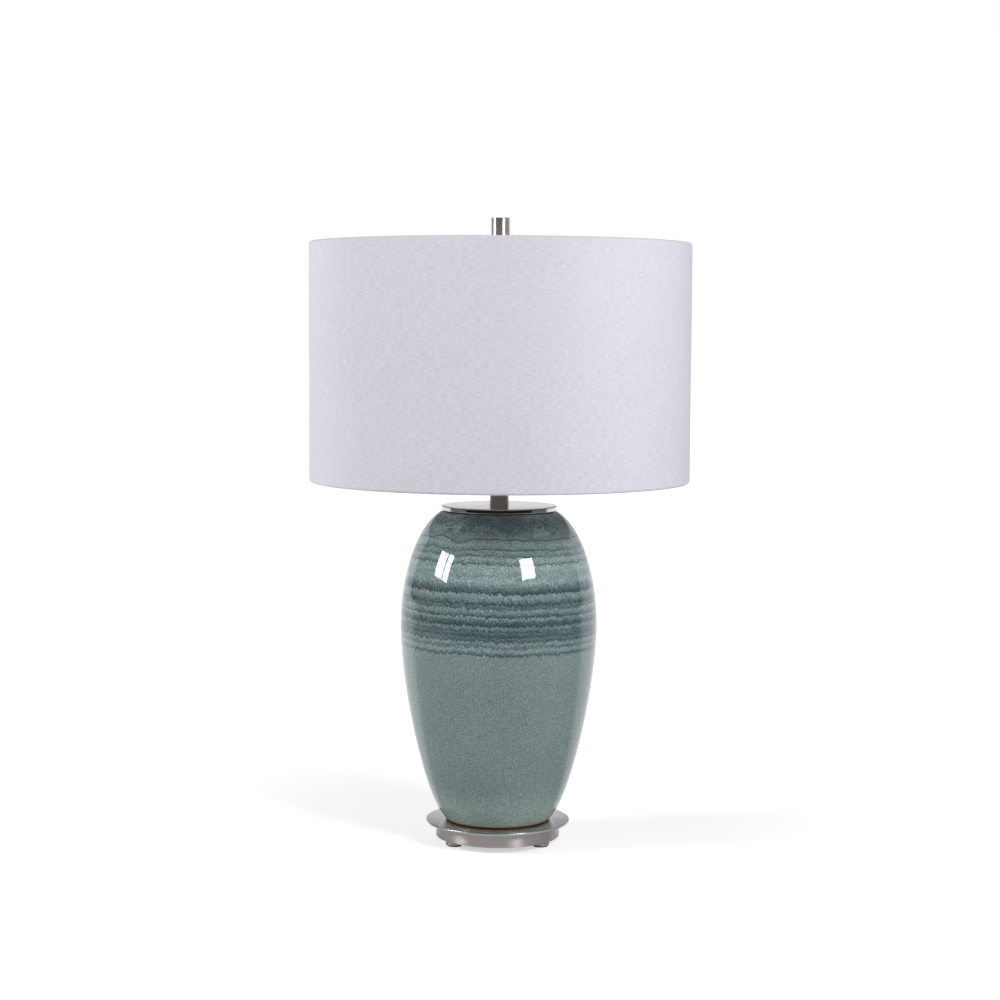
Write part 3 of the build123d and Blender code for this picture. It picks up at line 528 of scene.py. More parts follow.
@dataclass(frozen=True)
class BandedGlaze(Finish):
    """Reactive glaze: dark bands that ran a little in the kiln, over plain celadon.

    The bands are heights in millimetres with the tone that the glaze has there. Two ramps
    carry them, because one holds no more than 32 stops. The split between the ramps and the
    foot line with its fade are millimetres too, and all other lengths are metres. A zone is
    the two heights between which its layer grows, or between which the painted pale
    reflection of the base plate fades out above the foot.
    """

    foot_line: float = 26.4
    foot_fade: float = 0.7
    foot_wander: float = 0.0012
    split: float = 278.4
    slant: float = 0.008
    lower_bands: tuple[tuple[float, Tone], ...] = (
        (210.4, Tone.CELADON), (211.0, Tone.INK), (213.0, Tone.MID), (215.4, Tone.LIGHT),
        (218.2, Tone.MIST), (218.9, Tone.DARK), (221.0, Tone.MID), (224.2, Tone.LIGHT),
        (225.0, Tone.INK), (227.6, Tone.DARK), (229.2, Tone.MID), (229.8, Tone.INK),
        (232.6, Tone.DARK), (234.6, Tone.MID), (235.2, Tone.INK), (238.0, Tone.MIST),
        (240.0, Tone.MID), (240.8, Tone.INK), (244.8, Tone.DARK), (248.8, Tone.LIGHT),
        (249.8, Tone.INK), (252.4, Tone.MID), (256.8, Tone.LIGHT), (257.6, Tone.DARK),
        (260.8, Tone.MID), (262.0, Tone.INK), (265.4, Tone.MID), (269.8, Tone.LIGHT),
        (271.8, Tone.LIGHT), (272.7, Tone.INK), (275.6, Tone.DARK), (278.4, Tone.MID),
    )
    upper_bands: tuple[tuple[float, Tone], ...] = (
        (278.4, Tone.MID), (281.0, Tone.MIST), (284.0, Tone.PALE), (291.0, Tone.LIGHT),
        (295.0, Tone.PALE), (300.6, Tone.PALE), (301.5, Tone.INK), (302.6, Tone.MIST),
        (306.4, Tone.PALE), (308.4, Tone.LIGHT), (309.0, Tone.DARK), (310.4, Tone.MIST),
        (314.2, Tone.LIGHT), (315.0, Tone.DARK), (316.4, Tone.MIST), (320.0, Tone.PALE),
        (324.2, Tone.LIGHT), (325.0, Tone.INK), (326.0, Tone.SLATE), (332.0, Tone.SMOKE),
        (336.0, Tone.SMOKE), (341.0, Tone.SLATE), (345.0, Tone.SLATE), (349.5, Tone.SMOKE),
    )
    run_layers: tuple[RunLayer, ...] = (
        RunLayer(0.005, 0.3, 11.0, 1.0),
        RunLayer(0.012, 0.6, 26.0, 2.0, fade=(0.300, 0.335, 0.0, 1.0)),
        RunLayer(0.0085, 0.3, 430.0, 1.5, 0.6, (0.300, 0.320, 1.0, 0.15)),
        RunLayer(0.003, 0.3, 120.0, 2.0),
    )
    sag: tuple[float, float, float] = (-0.039, -0.070, 0.0052)
    sag_reach: float = 0.0135
    sag_zone: tuple[float, float] = (0.285, 0.318)
    # Heights and share of the painted pale reflection of the base plate near the foot.
    foot_sheen_zone: tuple[float, float] = (0.026, 0.066)
    foot_sheen_share: float = 0.9
    wheel_pull: float = 0.12
    streak_zone: tuple[float, float] = (0.207, 0.212)
    streak_share: float = 0.75
    streak_tones: tuple[float, float] = (0.70, 1.26)
    top_zone: tuple[float, float] = (0.326, 0.331)
    smoke_from: tuple[float, float] = (0.45, 0.62)
    vein_level: float = 0.47
    vein_width: tuple[float, float] = (0.003, 0.020)
    vein_share: float = 0.75
    blot: tuple[float, float, float, float] = (0.004, 0.3415, 0.036, 0.0065)
    blot_share: float = 0.28
    rust_spot: tuple[float, float, float] = (-0.076, -0.066, 0.258)
    rust_reach: tuple[float, float] = (0.006, 0.032)
    rust_speck: Colour = (0.26, 0.17, 0.09)
    fine_tones: tuple[float, float] = (0.56, 1.44)
    coarse_tones: tuple[float, float] = (0.82, 1.38)
    broad_tones: tuple[float, float] = (0.96, 1.05)
    coarse_zone: tuple[float, float] = (0.209, 0.216)
    gloss: float = 0.03
    bare_roughness: float = 0.7

    def dress(self, graph: Graph, shader: Inputs, place: Node) -> None:
        """Bands by a height that noise has moved, then speckle, crackle and the bare foot."""
        spot = place.outputs["Object"]
        x, _, height = graph.parts(spot)
        level = graph.plus(height, graph.times(x, self.slant))
        moved = graph.plus(level, self._run(graph, spot, height))
        streaked = self._streaks(graph, spot, moved, self._bands(graph, moved))
        # Painted pale reflection of the base plate: strongest at the foot and gone by 66 mm up.
        foot_sheen = graph.span(height, *self.foot_sheen_zone, self.foot_sheen_share, 0.0)
        sheened = graph.mix(foot_sheen, streaked, Tone.PAINTED_FOOT_SHEEN.value)
        glazed = self._speckle(graph, spot, height, self._clouds(graph, spot, moved, sheened))
        rim = graph.plus(height, graph.times(graph.noise(spot, 60.0), self.foot_wander))
        bare = graph.span(rim, self.foot_line * MM, (self.foot_line + self.foot_fade) * MM, 1.0, 0.0)
        graph.feed(shader["Base Color"], graph.mix(bare, glazed, Tone.RUST.value))
        graph.feed(shader["Roughness"], graph.span(bare, 0.0, 1.0, self.gloss, self.bare_roughness))
        shader["IOR"].default_value = 1.5
        swell = graph.noise(graph.vector("MULTIPLY", spot, (1.0, 1.0, 0.5)), 24.0, 1.0)
        graph.feed(shader["Normal"], graph.bump(swell, 0.0004, 0.5))

    def _run(self, graph: Graph, spot: Feed, height: Feed) -> Out:
        """Returns how far the glaze has run at each spot, in metres."""
        run: Feed = 0.0
        for layer in self.run_layers:
            squashed = graph.vector("MULTIPLY", spot, (1.0, 1.0, layer.squash))
            swing = graph.swing(squashed, layer.scale, layer.detail, layer.roughness)
            if layer.fade:
                swing = graph.times(swing, graph.span(height, *layer.fade))
            run = graph.plus(run, graph.times(swing, layer.depth))
        x, y, _ = graph.parts(spot)
        across, back, drop = self.sag
        off = graph.length(graph.joined(graph.minus(x, across), graph.minus(y, back), 0.0))
        sag = graph.times(graph.span(off, 0.0, self.sag_reach, drop, 0.0), graph.span(height, *self.sag_zone))
        return graph.plus(run, sag)

    def _bands(self, graph: Graph, height: Feed) -> Out:
        """Returns the colour of the bands at a height."""
        ramps = []
        for bands in (self.lower_bands, self.upper_bands):
            low, high = bands[0][0], bands[-1][0]
            stops = [((z - low) / (high - low), tone.value) for z, tone in bands]
            ramps.append(graph.ramp(graph.span(height, low * MM, high * MM), stops))
        above = graph.math("GREATER_THAN", height, self.split * MM)
        return graph.mix(above, ramps[0], ramps[1])

    def _streaks(self, graph: Graph, spot: Feed, height: Feed, bands: Feed) -> Out:
        """Returns the bands with the fine level streaks that brush and wheel left."""
        x, y, _ = graph.parts(spot)
        pull = self.wheel_pull
        wheel = graph.joined(graph.times(x, pull), graph.times(y, pull), height)
        streak = graph.noise(wheel, 420.0, 3.0, 0.7)
        share = graph.times(graph.span(height, *self.streak_zone), self.streak_share)
        tone = graph.grey(graph.span(streak, 0.3, 0.7, *self.streak_tones))
        return graph.mix(share, bands, graph.mix(1.0, bands, tone, "MULTIPLY"))

    def _clouds(self, graph: Graph, spot: Feed, height: Feed, bands: Feed) -> Out:
        """Returns the bands with smoke and thin veins in the top zone, and brown specks at one side."""
        drawn = graph.vector("MULTIPLY", spot, (1.0, 1.0, 1.8))
        smoke = graph.noise(drawn, 17.0, 4.0, 0.6, 1.4)
        top = graph.span(height, *self.top_zone)
        clouded = graph.mix(graph.times(graph.span(smoke, *self.smoke_from), top), bands, Tone.MID.value)
        from_vein = graph.math("ABSOLUTE", graph.minus(smoke, self.vein_level))
        x, y, z = graph.parts(spot)
        middle, level, half_width, half_height = self.blot
        across = graph.over(graph.minus(x, middle), half_width)
        upright = graph.over(graph.minus(z, level), half_height)
        off = graph.length(graph.joined(across, upright, graph.span(y, -0.02, 0.0, 0.0, 5.0)))
        ragged = graph.plus(off, graph.span(graph.noise(spot, 70.0, 3.0, 0.6), 0.25, 0.75, -0.75, 0.75))
        inside = graph.span(ragged, 0.75, 1.0, self.blot_share, 0.0)
        clouded = graph.mix(graph.times(inside, top), clouded, Tone.INK.value)
        from_rim = graph.times(graph.math("ABSOLUTE", graph.minus(ragged, 1.0)), 0.4)
        nearest = graph.math("MINIMUM", from_vein, from_rim)
        veins = graph.times(graph.span(nearest, *self.vein_width, self.vein_share, 0.0), top)
        clouded = graph.mix(veins, clouded, Tone.INK.value)
        offset = graph.vector("SUBTRACT", spot, self.rust_spot)
        near = graph.span(graph.length(offset), *self.rust_reach, 0.6, 0.0)
        specks = graph.span(graph.noise(spot, 210.0, 2.0), 0.50, 0.64)
        return graph.mix(graph.times(near, specks), clouded, self.rust_speck)

    def _speckle(self, graph: Graph, spot: Feed, height: Feed, colour: Feed) -> Out:
        """Returns a colour with fine crackle, coarser grains among the bands, and broad patches."""
        crackle = graph.place(EFFECTS.fine_speckle, Place=spot, Grains=1050.0, Sharp=0.13)
        fine = graph.span(crackle.outputs["Mask"], 0.0, 1.0, *self.fine_tones)
        coarse = graph.place(EFFECTS.fine_speckle, Place=spot, Grains=640.0, Sharp=0.16)
        banded = graph.times(coarse.outputs["Mask"], graph.span(height, *self.coarse_zone))
        rough = graph.span(banded, 0.0, 1.0, *self.coarse_tones)
        broad = graph.span(graph.noise(spot, 16.0, 2.0), 0.3, 0.7, *self.broad_tones)
        both = graph.grey(graph.times(graph.times(fine, rough), broad))
        return graph.mix(1.0, colour, both, "MULTIPLY")


NICKEL = TurnedMetal("turned_nickel", "brushed_nickel")
NICKEL_FLAT = TurnedMetal(
    "turned_nickel_flat", "brushed_nickel", colour=(0.66, 0.65, 0.66), shade=(0.58, 0.57, 0.58),
    roughness=0.25, roughness_spread=0.05, anisotropy=0.0, lines=1800.0, depth=0.000005,
)
NICKEL_CAP = TurnedMetal(
    "spun_nickel", "brushed_nickel", roughness=0.13, roughness_spread=0.03, anisotropy=0.0,
    lines=1800.0, depth=0.000003, smooth_below=354.4,
)
BRIGHT_NICKEL = TurnedMetal(
    "bright_nickel", "polished_nickel", colour=(0.78, 0.76, 0.74), shade=(0.72, 0.70, 0.68),
    roughness=0.3, roughness_spread=0.03, anisotropy=0.95, lines=4000.0, depth=0.000003,
)
ZINC = TurnedMetal(
    "bright_zinc", "zinc_steel", colour=(0.68, 0.69, 0.70), shade=(0.60, 0.61, 0.63),
    roughness=0.34, anisotropy=0.0, lines=1200.0, depth=0.00001,
)
BRASS = TurnedMetal(
    "plain_brass", "brass", colour=(0.74, 0.56, 0.27), shade=(0.66, 0.48, 0.22),
    roughness=0.28, anisotropy=0.0, lines=2600.0, depth=0.000006,
)
ALUMINIUM = TurnedMetal(
    "rolled_aluminium", "thin_aluminium", colour=(0.84, 0.84, 0.85), shade=(0.77, 0.77, 0.78),
    roughness=0.24, anisotropy=0.0, lines=2600.0, depth=0.000006,
)
WIRE_ENAMEL = Moulded(
    "wire_enamel", "white_wire", colour=(0.80, 0.80, 0.79), fleck=(0.76, 0.76, 0.75),
    roughness=0.32, grains=1500.0, depth=0.00002, coat=0.3,
)
LINING = Moulded(
    "satin_lining", "white_lining", colour=(0.82, 0.81, 0.79), fleck=(0.79, 0.78, 0.76),
    roughness=0.5, grains=500.0, depth=0.00003,
)
CASTING = Moulded(
    "painted_casting", "cast_iron", colour=(0.035, 0.035, 0.036), fleck=(0.07, 0.068, 0.065),
    roughness=0.55, grains=600.0, depth=0.0003,
)
PAD_FELT = Moulded(
    "pressed_felt", "felt", colour=(0.045, 0.042, 0.040), fleck=(0.09, 0.085, 0.08),
    roughness=0.9, grains=1800.0, depth=0.0002, sheen=0.3,
)
RUBBER = Moulded(
    "matte_rubber", "black_rubber", colour=(0.022, 0.022, 0.022), fleck=(0.032, 0.032, 0.032),
    roughness=0.62, grains=1400.0, depth=0.00003,
)
PHENOLIC = Moulded(
    "moulded_phenolic", "black_plastic", colour=(0.018, 0.018, 0.018), fleck=(0.026, 0.025, 0.024),
    roughness=0.3, grains=1100.0, depth=0.00002,
)
LINER = FibreBoard("fibre_paper", "liner_board")
LINEN = Linen("white_linen", "linen")
GLAZE = BandedGlaze("banded_glaze", "glazed_ceramic")


# ---------------------------------------------------------------- shapes
class Body(Enum):
    """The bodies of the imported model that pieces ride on."""

    STAND = "stand"
    SWITCH = "switch"
    SHADE = "shade"
    FINIAL = "finial"
    SLEEVE_LEFT = "sleeve_left"
    SLEEVE_RIGHT = "sleeve_right"


@dataclass(frozen=True)
class Corner:
    """A corner of an outline: its radius from the axis, its height and how it is rounded."""

    r: float
    z: float
    bend: float = 0.0


def polar(radius: float, angle: float) -> tuple[float, float]:
    """Returns the x and y of a point at an angle, in radians, round the axis."""
    return radius * math.cos(angle), radius * math.sin(angle)


def rounded(corners: Sequence[Corner], steps: int = 6) -> Outline:
    """Turns corners into a closed outline with an arc at each that is rounded.

    Args:
        corners: the corners in order, in millimetres.
        steps: how many runs an arc has.

    Returns:
        The outline's points as (radius, height).
    """
    outline: Outline = []
    for index, corner in enumerate(corners):
        here = Vector((corner.r, corner.z))
        if corner.bend <= 0:
            outline.append(tuple(here))
            continue
        before, after = corners[index - 1], corners[(index + 1) % len(corners)]
        back = (Vector((before.r, before.z)) - here).normalized()
        ahead = (Vector((after.r, after.z)) - here).normalized()
        half = back.angle(ahead) / 2
        centre = here + (back + ahead).normalized() * (corner.bend / math.sin(half))
        start = here + back * (corner.bend / math.tan(half)) - centre
        end = here + ahead * (corner.bend / math.tan(half)) - centre
        first = math.atan2(start.y, start.x)
        turn = (math.atan2(end.y, end.x) - first + math.pi) % FULL_TURN - math.pi
        for step in range(steps + 1):
            x, y = polar(corner.bend, first + turn * step / steps)
            outline.append((centre.x + x, centre.y + y))
    return outline


def tube(inner: float, outer: float, low: float, high: float, bend: float = 0.3) -> Outline:
    """Returns the outline of a plain ring or tube with slightly rounded edges."""
    spots = ((inner, low), (outer, low), (outer, high), (inner, high))
    return rounded([Corner(*spot, bend) for spot in spots], 3)


def settled(shape: bmesh.types.BMesh, mesh: Mesh | None = None, outward: bool = True) -> Mesh:
    """Returns a shape as a mesh, with the faces of each closed shell pointing out if asked to.

    Args:
        shape: the shape, which is freed.
        mesh: the mesh that it replaces, or none for a new one.
        outward: whether the faces are turned.
    """
    if outward:
        bmesh.ops.recalc_face_normals(shape, faces=shape.faces)
    mesh = mesh or bpy.data.meshes.new("shape")
    shape.to_mesh(mesh)
    shape.free()
    return mesh


def turned(
    outline: Outline,
    centre: tuple[float, float] = (0.0, 0.0),
    segments: int = 192,
    cloth: bool = False,
) -> Mesh:
    """Turns a closed outline round an upright axis.

    Args:
        outline: (radius, height) points in millimetres.
        centre: where the axis stands, in millimetres.
        segments: how many facets go round.
        cloth: whether the mesh gets a UV map of its flat place in metres.

    Returns:
        A closed mesh with its faces pointing out.
    """
    shape = bmesh.new()
    rings = []
    for r, z in outline:
        count = segments if r > ON_AXIS else 1
        spots = (polar(r, FULL_TURN * k / segments) for k in range(count))
        places = (((centre[0] + x) * MM, (centre[1] + y) * MM, z * MM) for x, y in spots)
        rings.append([shape.verts.new(place) for place in places])
    layer = shape.loops.layers.uv.new(CLOTH_PLACE) if cloth else None
    widest = max(r for r, _ in outline)
    run = 0.0
    for index, ring in enumerate(rings):
        following = rings[(index + 1) % len(rings)]
        rise = (Vector(outline[(index + 1) % len(outline)]) - Vector(outline[index])).length
        for k in range(segments if max(len(ring), len(following)) > 1 else 0):
            above = run + rise
            corners = ((ring, k, run), (ring, k + 1, run), (following, k + 1, above), (following, k, above))
            spots: list[tuple[bmesh.types.BMVert, float, float]] = []
            for points, step, up in corners:
                vert = points[step % len(points)]
                if all(vert is not spot[0] for spot in spots):
                    spots.append((vert, step * FULL_TURN / segments * widest, up))
            face = shape.faces.new([spot[0] for spot in spots])
            if layer:
                for loop, (_, across, up) in zip(face.loops, spots):
                    loop[layer].uv = (across * MM, up * MM)
        run += rise
    return settled(shape)


def welded(node: str) -> Mesh:
    """Returns a copy of a solid's mesh with its loose triangles joined."""
    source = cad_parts[node].data
    shape = bmesh.new()
    verts = [shape.verts.new(vert.co) for vert in source.vertices]
    for polygon in source.polygons:
        shape.faces.new([verts[index] for index in polygon.vertices])
    bmesh.ops.remove_doubles(shape, verts=shape.verts, dist=WELD_REACH)
    return settled(shape, outward=False)


def linked(name: str, data: bpy.types.ID) -> bpy.types.Object:
    """Returns a new object of the scene that holds the data."""
    piece = bpy.data.objects.new(name, data)
    bpy.context.scene.collection.objects.link(piece)
    return piece


def show(
    name: str,
    mesh: Mesh,
    finish: Finish,
    stands_for: Sequence[str] = (),
    body: Body = Body.STAND,
    crease: float = 35.0,
) -> bpy.types.Object:
    """Puts a piece in the scene.

    Args:
        name: the piece's name.
        mesh: its mesh, in place.
        finish: its finish.
        stands_for: the solids that it stands for.
        body: the body that it rides on.
        crease: the angle, in degrees, above which an edge stays sharp.

    Returns:
        The piece.
    """
    mesh.name = name
    mesh.materials.clear()
    mesh.materials.append(finish.material())
    mesh.polygons.foreach_set("use_smooth", [True] * len(mesh.polygons))
    mesh.set_sharp_from_angle(angle=math.radians(crease))
    piece = linked(name, mesh)
    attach(piece, body.value)
    if stands_for:
        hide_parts(*stands_for)
    LOG.info("%s: %d faces, on %s", name, len(mesh.polygons), body.value)
    return piece


def show_solids(*rows: tuple[str, str, Finish]) -> None:
    """Shows solids of the stand as they are, each row a piece's name, its solid and its finish."""
    for name, node, finish in rows:
        show(name, welded(node), finish, [node])


class GrownShape:
    """A Geometry Nodes tree with named sizes, which grows a plain mesh from a start mesh."""

    def __init__(self, name: str) -> None:
        """Opens the tree, with a start mesh and a finish among its inputs."""
        self.tree = bpy.data.node_groups.new(name, "GeometryNodeTree")
        self.graph = Graph(self.tree)
        self.entry = self.graph.add("NodeGroupInput")
        self.leave = self.graph.add("NodeGroupOutput")
        self.tree.interface.new_socket("Grown", in_out="OUTPUT", socket_type="NodeSocketGeometry")
        self.start = self.size("Start", None, "NodeSocketGeometry")
        self.finish = self.size("Finish", None, "NodeSocketMaterial")

    def size(self, name: str, value: float | int | None, kind: str = "NodeSocketFloat") -> Out:
        """Adds a named input and returns the socket that carries it."""
        socket = self.tree.interface.new_socket(name, in_out="INPUT", socket_type=kind)
        if value is not None:
            socket.default_value = value
        return self.entry.outputs[name]

    def step(self, kind: str, *feeds: Feed, **settings: object) -> Out:
        """Adds a node, feeds its open inputs in order and returns its first output."""
        node = self.graph.add(kind, **settings)
        sockets = [socket for socket in node.inputs if socket.enabled]
        for socket, value in zip(sockets, feeds):
            self.graph.feed(socket, value)
        return node.outputs[0]

    def circle(self, sides: Feed, radius: Feed) -> Out:
        """Returns a circle of that many sides."""
        return self.step("GeometryNodeCurvePrimitiveCircle", sides, radius, mode="RADIUS")

    def swept(self, line: Feed, section: Feed, **more: Feed) -> Out:
        """Returns a section swept along a line, with its ends closed."""
        node = self.graph.add("GeometryNodeCurveToMesh")
        self.graph.fill(node, {"Curve": line, "Profile Curve": section, "Fill Caps": True, **more})
        return node.outputs[0]

    def close(self, geometry: Out) -> None:
        """Ends the tree with real meshes in the finish's material."""
        real = self.step("GeometryNodeRealizeInstances", geometry)
        coloured = self.step("GeometryNodeSetMaterial", real, None, self.finish)
        self.graph.feed(self.leave.inputs[0], coloured)

    def grow(self, finish: Finish, start: Mesh | None = None, **sizes: float) -> Mesh:
        """Runs the tree once.

        Args:
            finish: the finish of the mesh.
            start: the mesh that it grows from, if it needs one.
            sizes: values for the named inputs, with _ for a space.

        Returns:
            The grown mesh, plain and in place.
        """
        holder = linked("holder", start or bpy.data.meshes.new("start"))
        modifier = holder.modifiers.new("Grow", "NODES")
        modifier.node_group = self.tree
        inputs = (item for item in self.tree.interface.items_tree if item.in_out == "INPUT")
        keys = {item.name: item.identifier for item in inputs}
        modifier[keys["Finish"]] = finish.material()
        for name, value in sizes.items():
            modifier[keys[name.replace("_", " ")]] = value
        depsgraph = bpy.context.evaluated_depsgraph_get()
        mesh = bpy.data.meshes.new_from_object(holder.evaluated_get(depsgraph), depsgraph=depsgraph)
        holder.modifiers.remove(modifier)
        bpy.data.objects.remove(holder)
        shape = bmesh.new()
        shape.from_mesh(mesh)
        return settled(shape, mesh)


class BentWire(GrownShape):
    """A round wire along a line of corners, each bent to its own radius."""

    BEND = "bend"

    def __init__(self) -> None:
        """Builds the tree."""
        super().__init__("bent_wire")
        radius = self.size("Wire Radius", 0.002)
        sides = self.size("Sides", 20, "NodeSocketInt")
        arc_runs = self.size("Arc Runs", 14, "NodeSocketInt")
        line = self.step("GeometryNodeMeshToCurve", self.start)
        bend = self.step("GeometryNodeInputNamedAttribute", self.BEND, data_type="FLOAT")
        fillet = self.graph.add("GeometryNodeFilletCurve", mode="POLY")
        self.graph.fill(fillet, {"Curve": line, "Count": arc_runs, "Radius": bend})
        self.close(self.swept(fillet.outputs[0], self.circle(sides, radius)))

    def along(
        self, corners: Sequence[tuple[Vector, float]], radius: float, finish: Finish, closed: bool = False
    ) -> Mesh:
        """Bends a wire.

        Args:
            corners: the corners and their bend radii, in millimetres.
            radius: the wire's radius in millimetres.
            finish: the wire's finish.
            closed: whether it ends where it starts.

        Returns:
            The wire's mesh.
        """
        line = bpy.data.meshes.new("line")
        edges = [(k, k + 1) for k in range(len(corners) - 1)]
        if closed:
            edges.append((len(corners) - 1, 0))
        line.from_pydata([spot * MM for spot, _ in corners], edges, [])
        bends = line.attributes.new(self.BEND, "FLOAT", "POINT")
        bends.data.foreach_set("value", [bend * MM for _, bend in corners])
        return self.grow(finish, line, Wire_Radius=radius * MM)


class FlutedRod(GrownShape):
    """A rod with flutes along its side and its far edge broken, such as a switch knob."""

    def __init__(self) -> None:
        """Builds the tree along -Y from the origin of its height."""
        super().__init__("fluted_rod")
        graph = self.graph
        radius = self.size("Radius", 0.0064)
        flutes = self.size("Flutes", 16.0)
        depth = self.size("Flute Depth", 0.0006)
        edge = self.size("Edge", 0.0008)
        near = self.size("Near End", 0.02125)
        far = self.size("Far End", 0.03425)
        height = self.size("Height", 0.4081)
        ring = self.circle(256, radius)
        spot = self.step("GeometryNodeInputPosition")
        x, y, _ = graph.parts(spot)
        angle = graph.math("ARCTAN2", y, x)
        wave = graph.math("MAXIMUM", graph.math("COSINE", graph.times(angle, flutes)), 0.0)
        cut = graph.over(graph.times(graph.math("POWER", wave, 3.0), depth), radius)
        shrunk = graph.add("ShaderNodeVectorMath", operation="SCALE")
        graph.feed(shrunk.inputs[0], spot)
        graph.feed(shrunk.inputs["Scale"], graph.minus(1.0, cut))
        fluted = self.step("GeometryNodeSetPosition", ring, None, shrunk.outputs["Vector"])
        back = graph.joined(0.0, graph.times(near, -1.0), height)
        front = graph.joined(0.0, graph.times(far, -1.0), height)
        axis = self.step("GeometryNodeCurvePrimitiveLine", back, front, mode="POINTS")
        runs = self.step("GeometryNodeResampleCurve", axis, None, 66)
        reach = graph.add("GeometryNodeSplineParameter").outputs["Length"]
        left = graph.minus(graph.minus(far, near), reach)
        broken = graph.math("MAXIMUM", graph.minus(edge, left), 0.0)
        self.close(self.swept(runs, fluted, Scale=graph.minus(1.0, graph.over(broken, radius))))


class RolledThread(GrownShape):
    """A rolled thread, as a rounded ridge that winds up a wall."""

    def __init__(self) -> None:
        """Builds the tree; it is added to the start mesh."""
        super().__init__("rolled_thread")
        graph = self.graph
        radius = self.size("Radius", 0.0132)
        ridge = self.size("Ridge", 0.0005)
        pitch = self.size("Pitch", 0.0036)
        low = self.size("Low", 0.417)
        rise = self.size("Rise", 0.018)
        turns = graph.over(rise, pitch)
        spiral = graph.add("GeometryNodeCurveSpiral")
        graph.fill(spiral, {
            "Resolution": 72, "Rotations": turns, "Height": rise, "Start Radius": radius,
            "End Radius": radius,
        })
        raised = self.step("GeometryNodeTransform", self.swept(spiral.outputs[0], self.circle(12, ridge)))
        graph.feed(raised.node.inputs["Translation"], graph.joined(0.0, 0.0, low))
        both = graph.add("GeometryNodeJoinGeometry")
        graph.tree.links.new(raised, both.inputs[0])
        graph.tree.links.new(self.start, both.inputs[0])
        self.close(both.outputs[0])


class BeadRows(GrownShape):
    """Rolled beads round a shell, evenly spaced up it."""

    def __init__(self) -> None:
        """Builds the tree: rings set on the points of an upright line."""
        super().__init__("bead_rows")
        graph = self.graph
        rows = self.size("Rows", 3, "NodeSocketInt")
        radius = self.size("Radius", 0.01625)
        bead = self.size("Bead", 0.0004)
        low = self.size("Low", 0.43)
        gap = self.size("Gap", 0.002)
        first, apart = graph.joined(0.0, 0.0, low), graph.joined(0.0, 0.0, gap)
        line = self.step("GeometryNodeMeshLine", rows, first, apart, mode="OFFSET")
        beads = self.step("GeometryNodeCurveToMesh", self.circle(128, radius), self.circle(10, bead))
        self.close(self.step("GeometryNodeInstanceOnPoints", line, None, beads))


class SlubScatter(GrownShape):
    """Thick places in the threads of a cloth, strewn over it along the weft."""

    def __init__(self) -> None:
        """Builds the tree; the start mesh is the cloth, and the seed is fixed."""
        super().__init__("slub_scatter")
        graph = self.graph
        density = self.size("Density", 600.0)
        length = self.size("Slub Length", 0.004)
        girth = self.size("Slub Girth", 0.00011)
        seed = self.size("Seed", 11, "NodeSocketInt")
        strewn = graph.add("GeometryNodeDistributePointsOnFaces")
        graph.fill(strewn, {"Mesh": self.start, "Density": density, "Seed": seed})
        slub = graph.fill(graph.add("GeometryNodeMeshUVSphere"), {"Segments": 6, "Rings": 5, "Radius": 1.0})
        x, y, _ = graph.parts(self.step("GeometryNodeInputPosition"))
        along = graph.joined(graph.times(y, -1.0), x, 0.0)
        turned_way = graph.add("FunctionNodeAlignRotationToVector", axis="X", pivot_axis="AUTO")
        graph.feed(turned_way.inputs["Vector"], along)
        longer = graph.add("FunctionNodeRandomValue", data_type="FLOAT")
        floats = [socket for socket in longer.inputs if socket.enabled]
        for socket, value in zip(floats, (0.35, 1.0)):
            graph.feed(socket, value)
        graph.feed(longer.inputs["Seed"], seed)
        share = next(socket for socket in longer.outputs if socket.enabled)
        size = graph.joined(graph.times(length, share), girth, girth)
        placed = graph.fill(graph.add("GeometryNodeInstanceOnPoints"), {
            "Points": strewn.outputs["Points"], "Instance": slub.outputs[0],
            "Rotation": turned_way.outputs[0], "Scale": size,
        })
        self.close(placed.outputs[0])


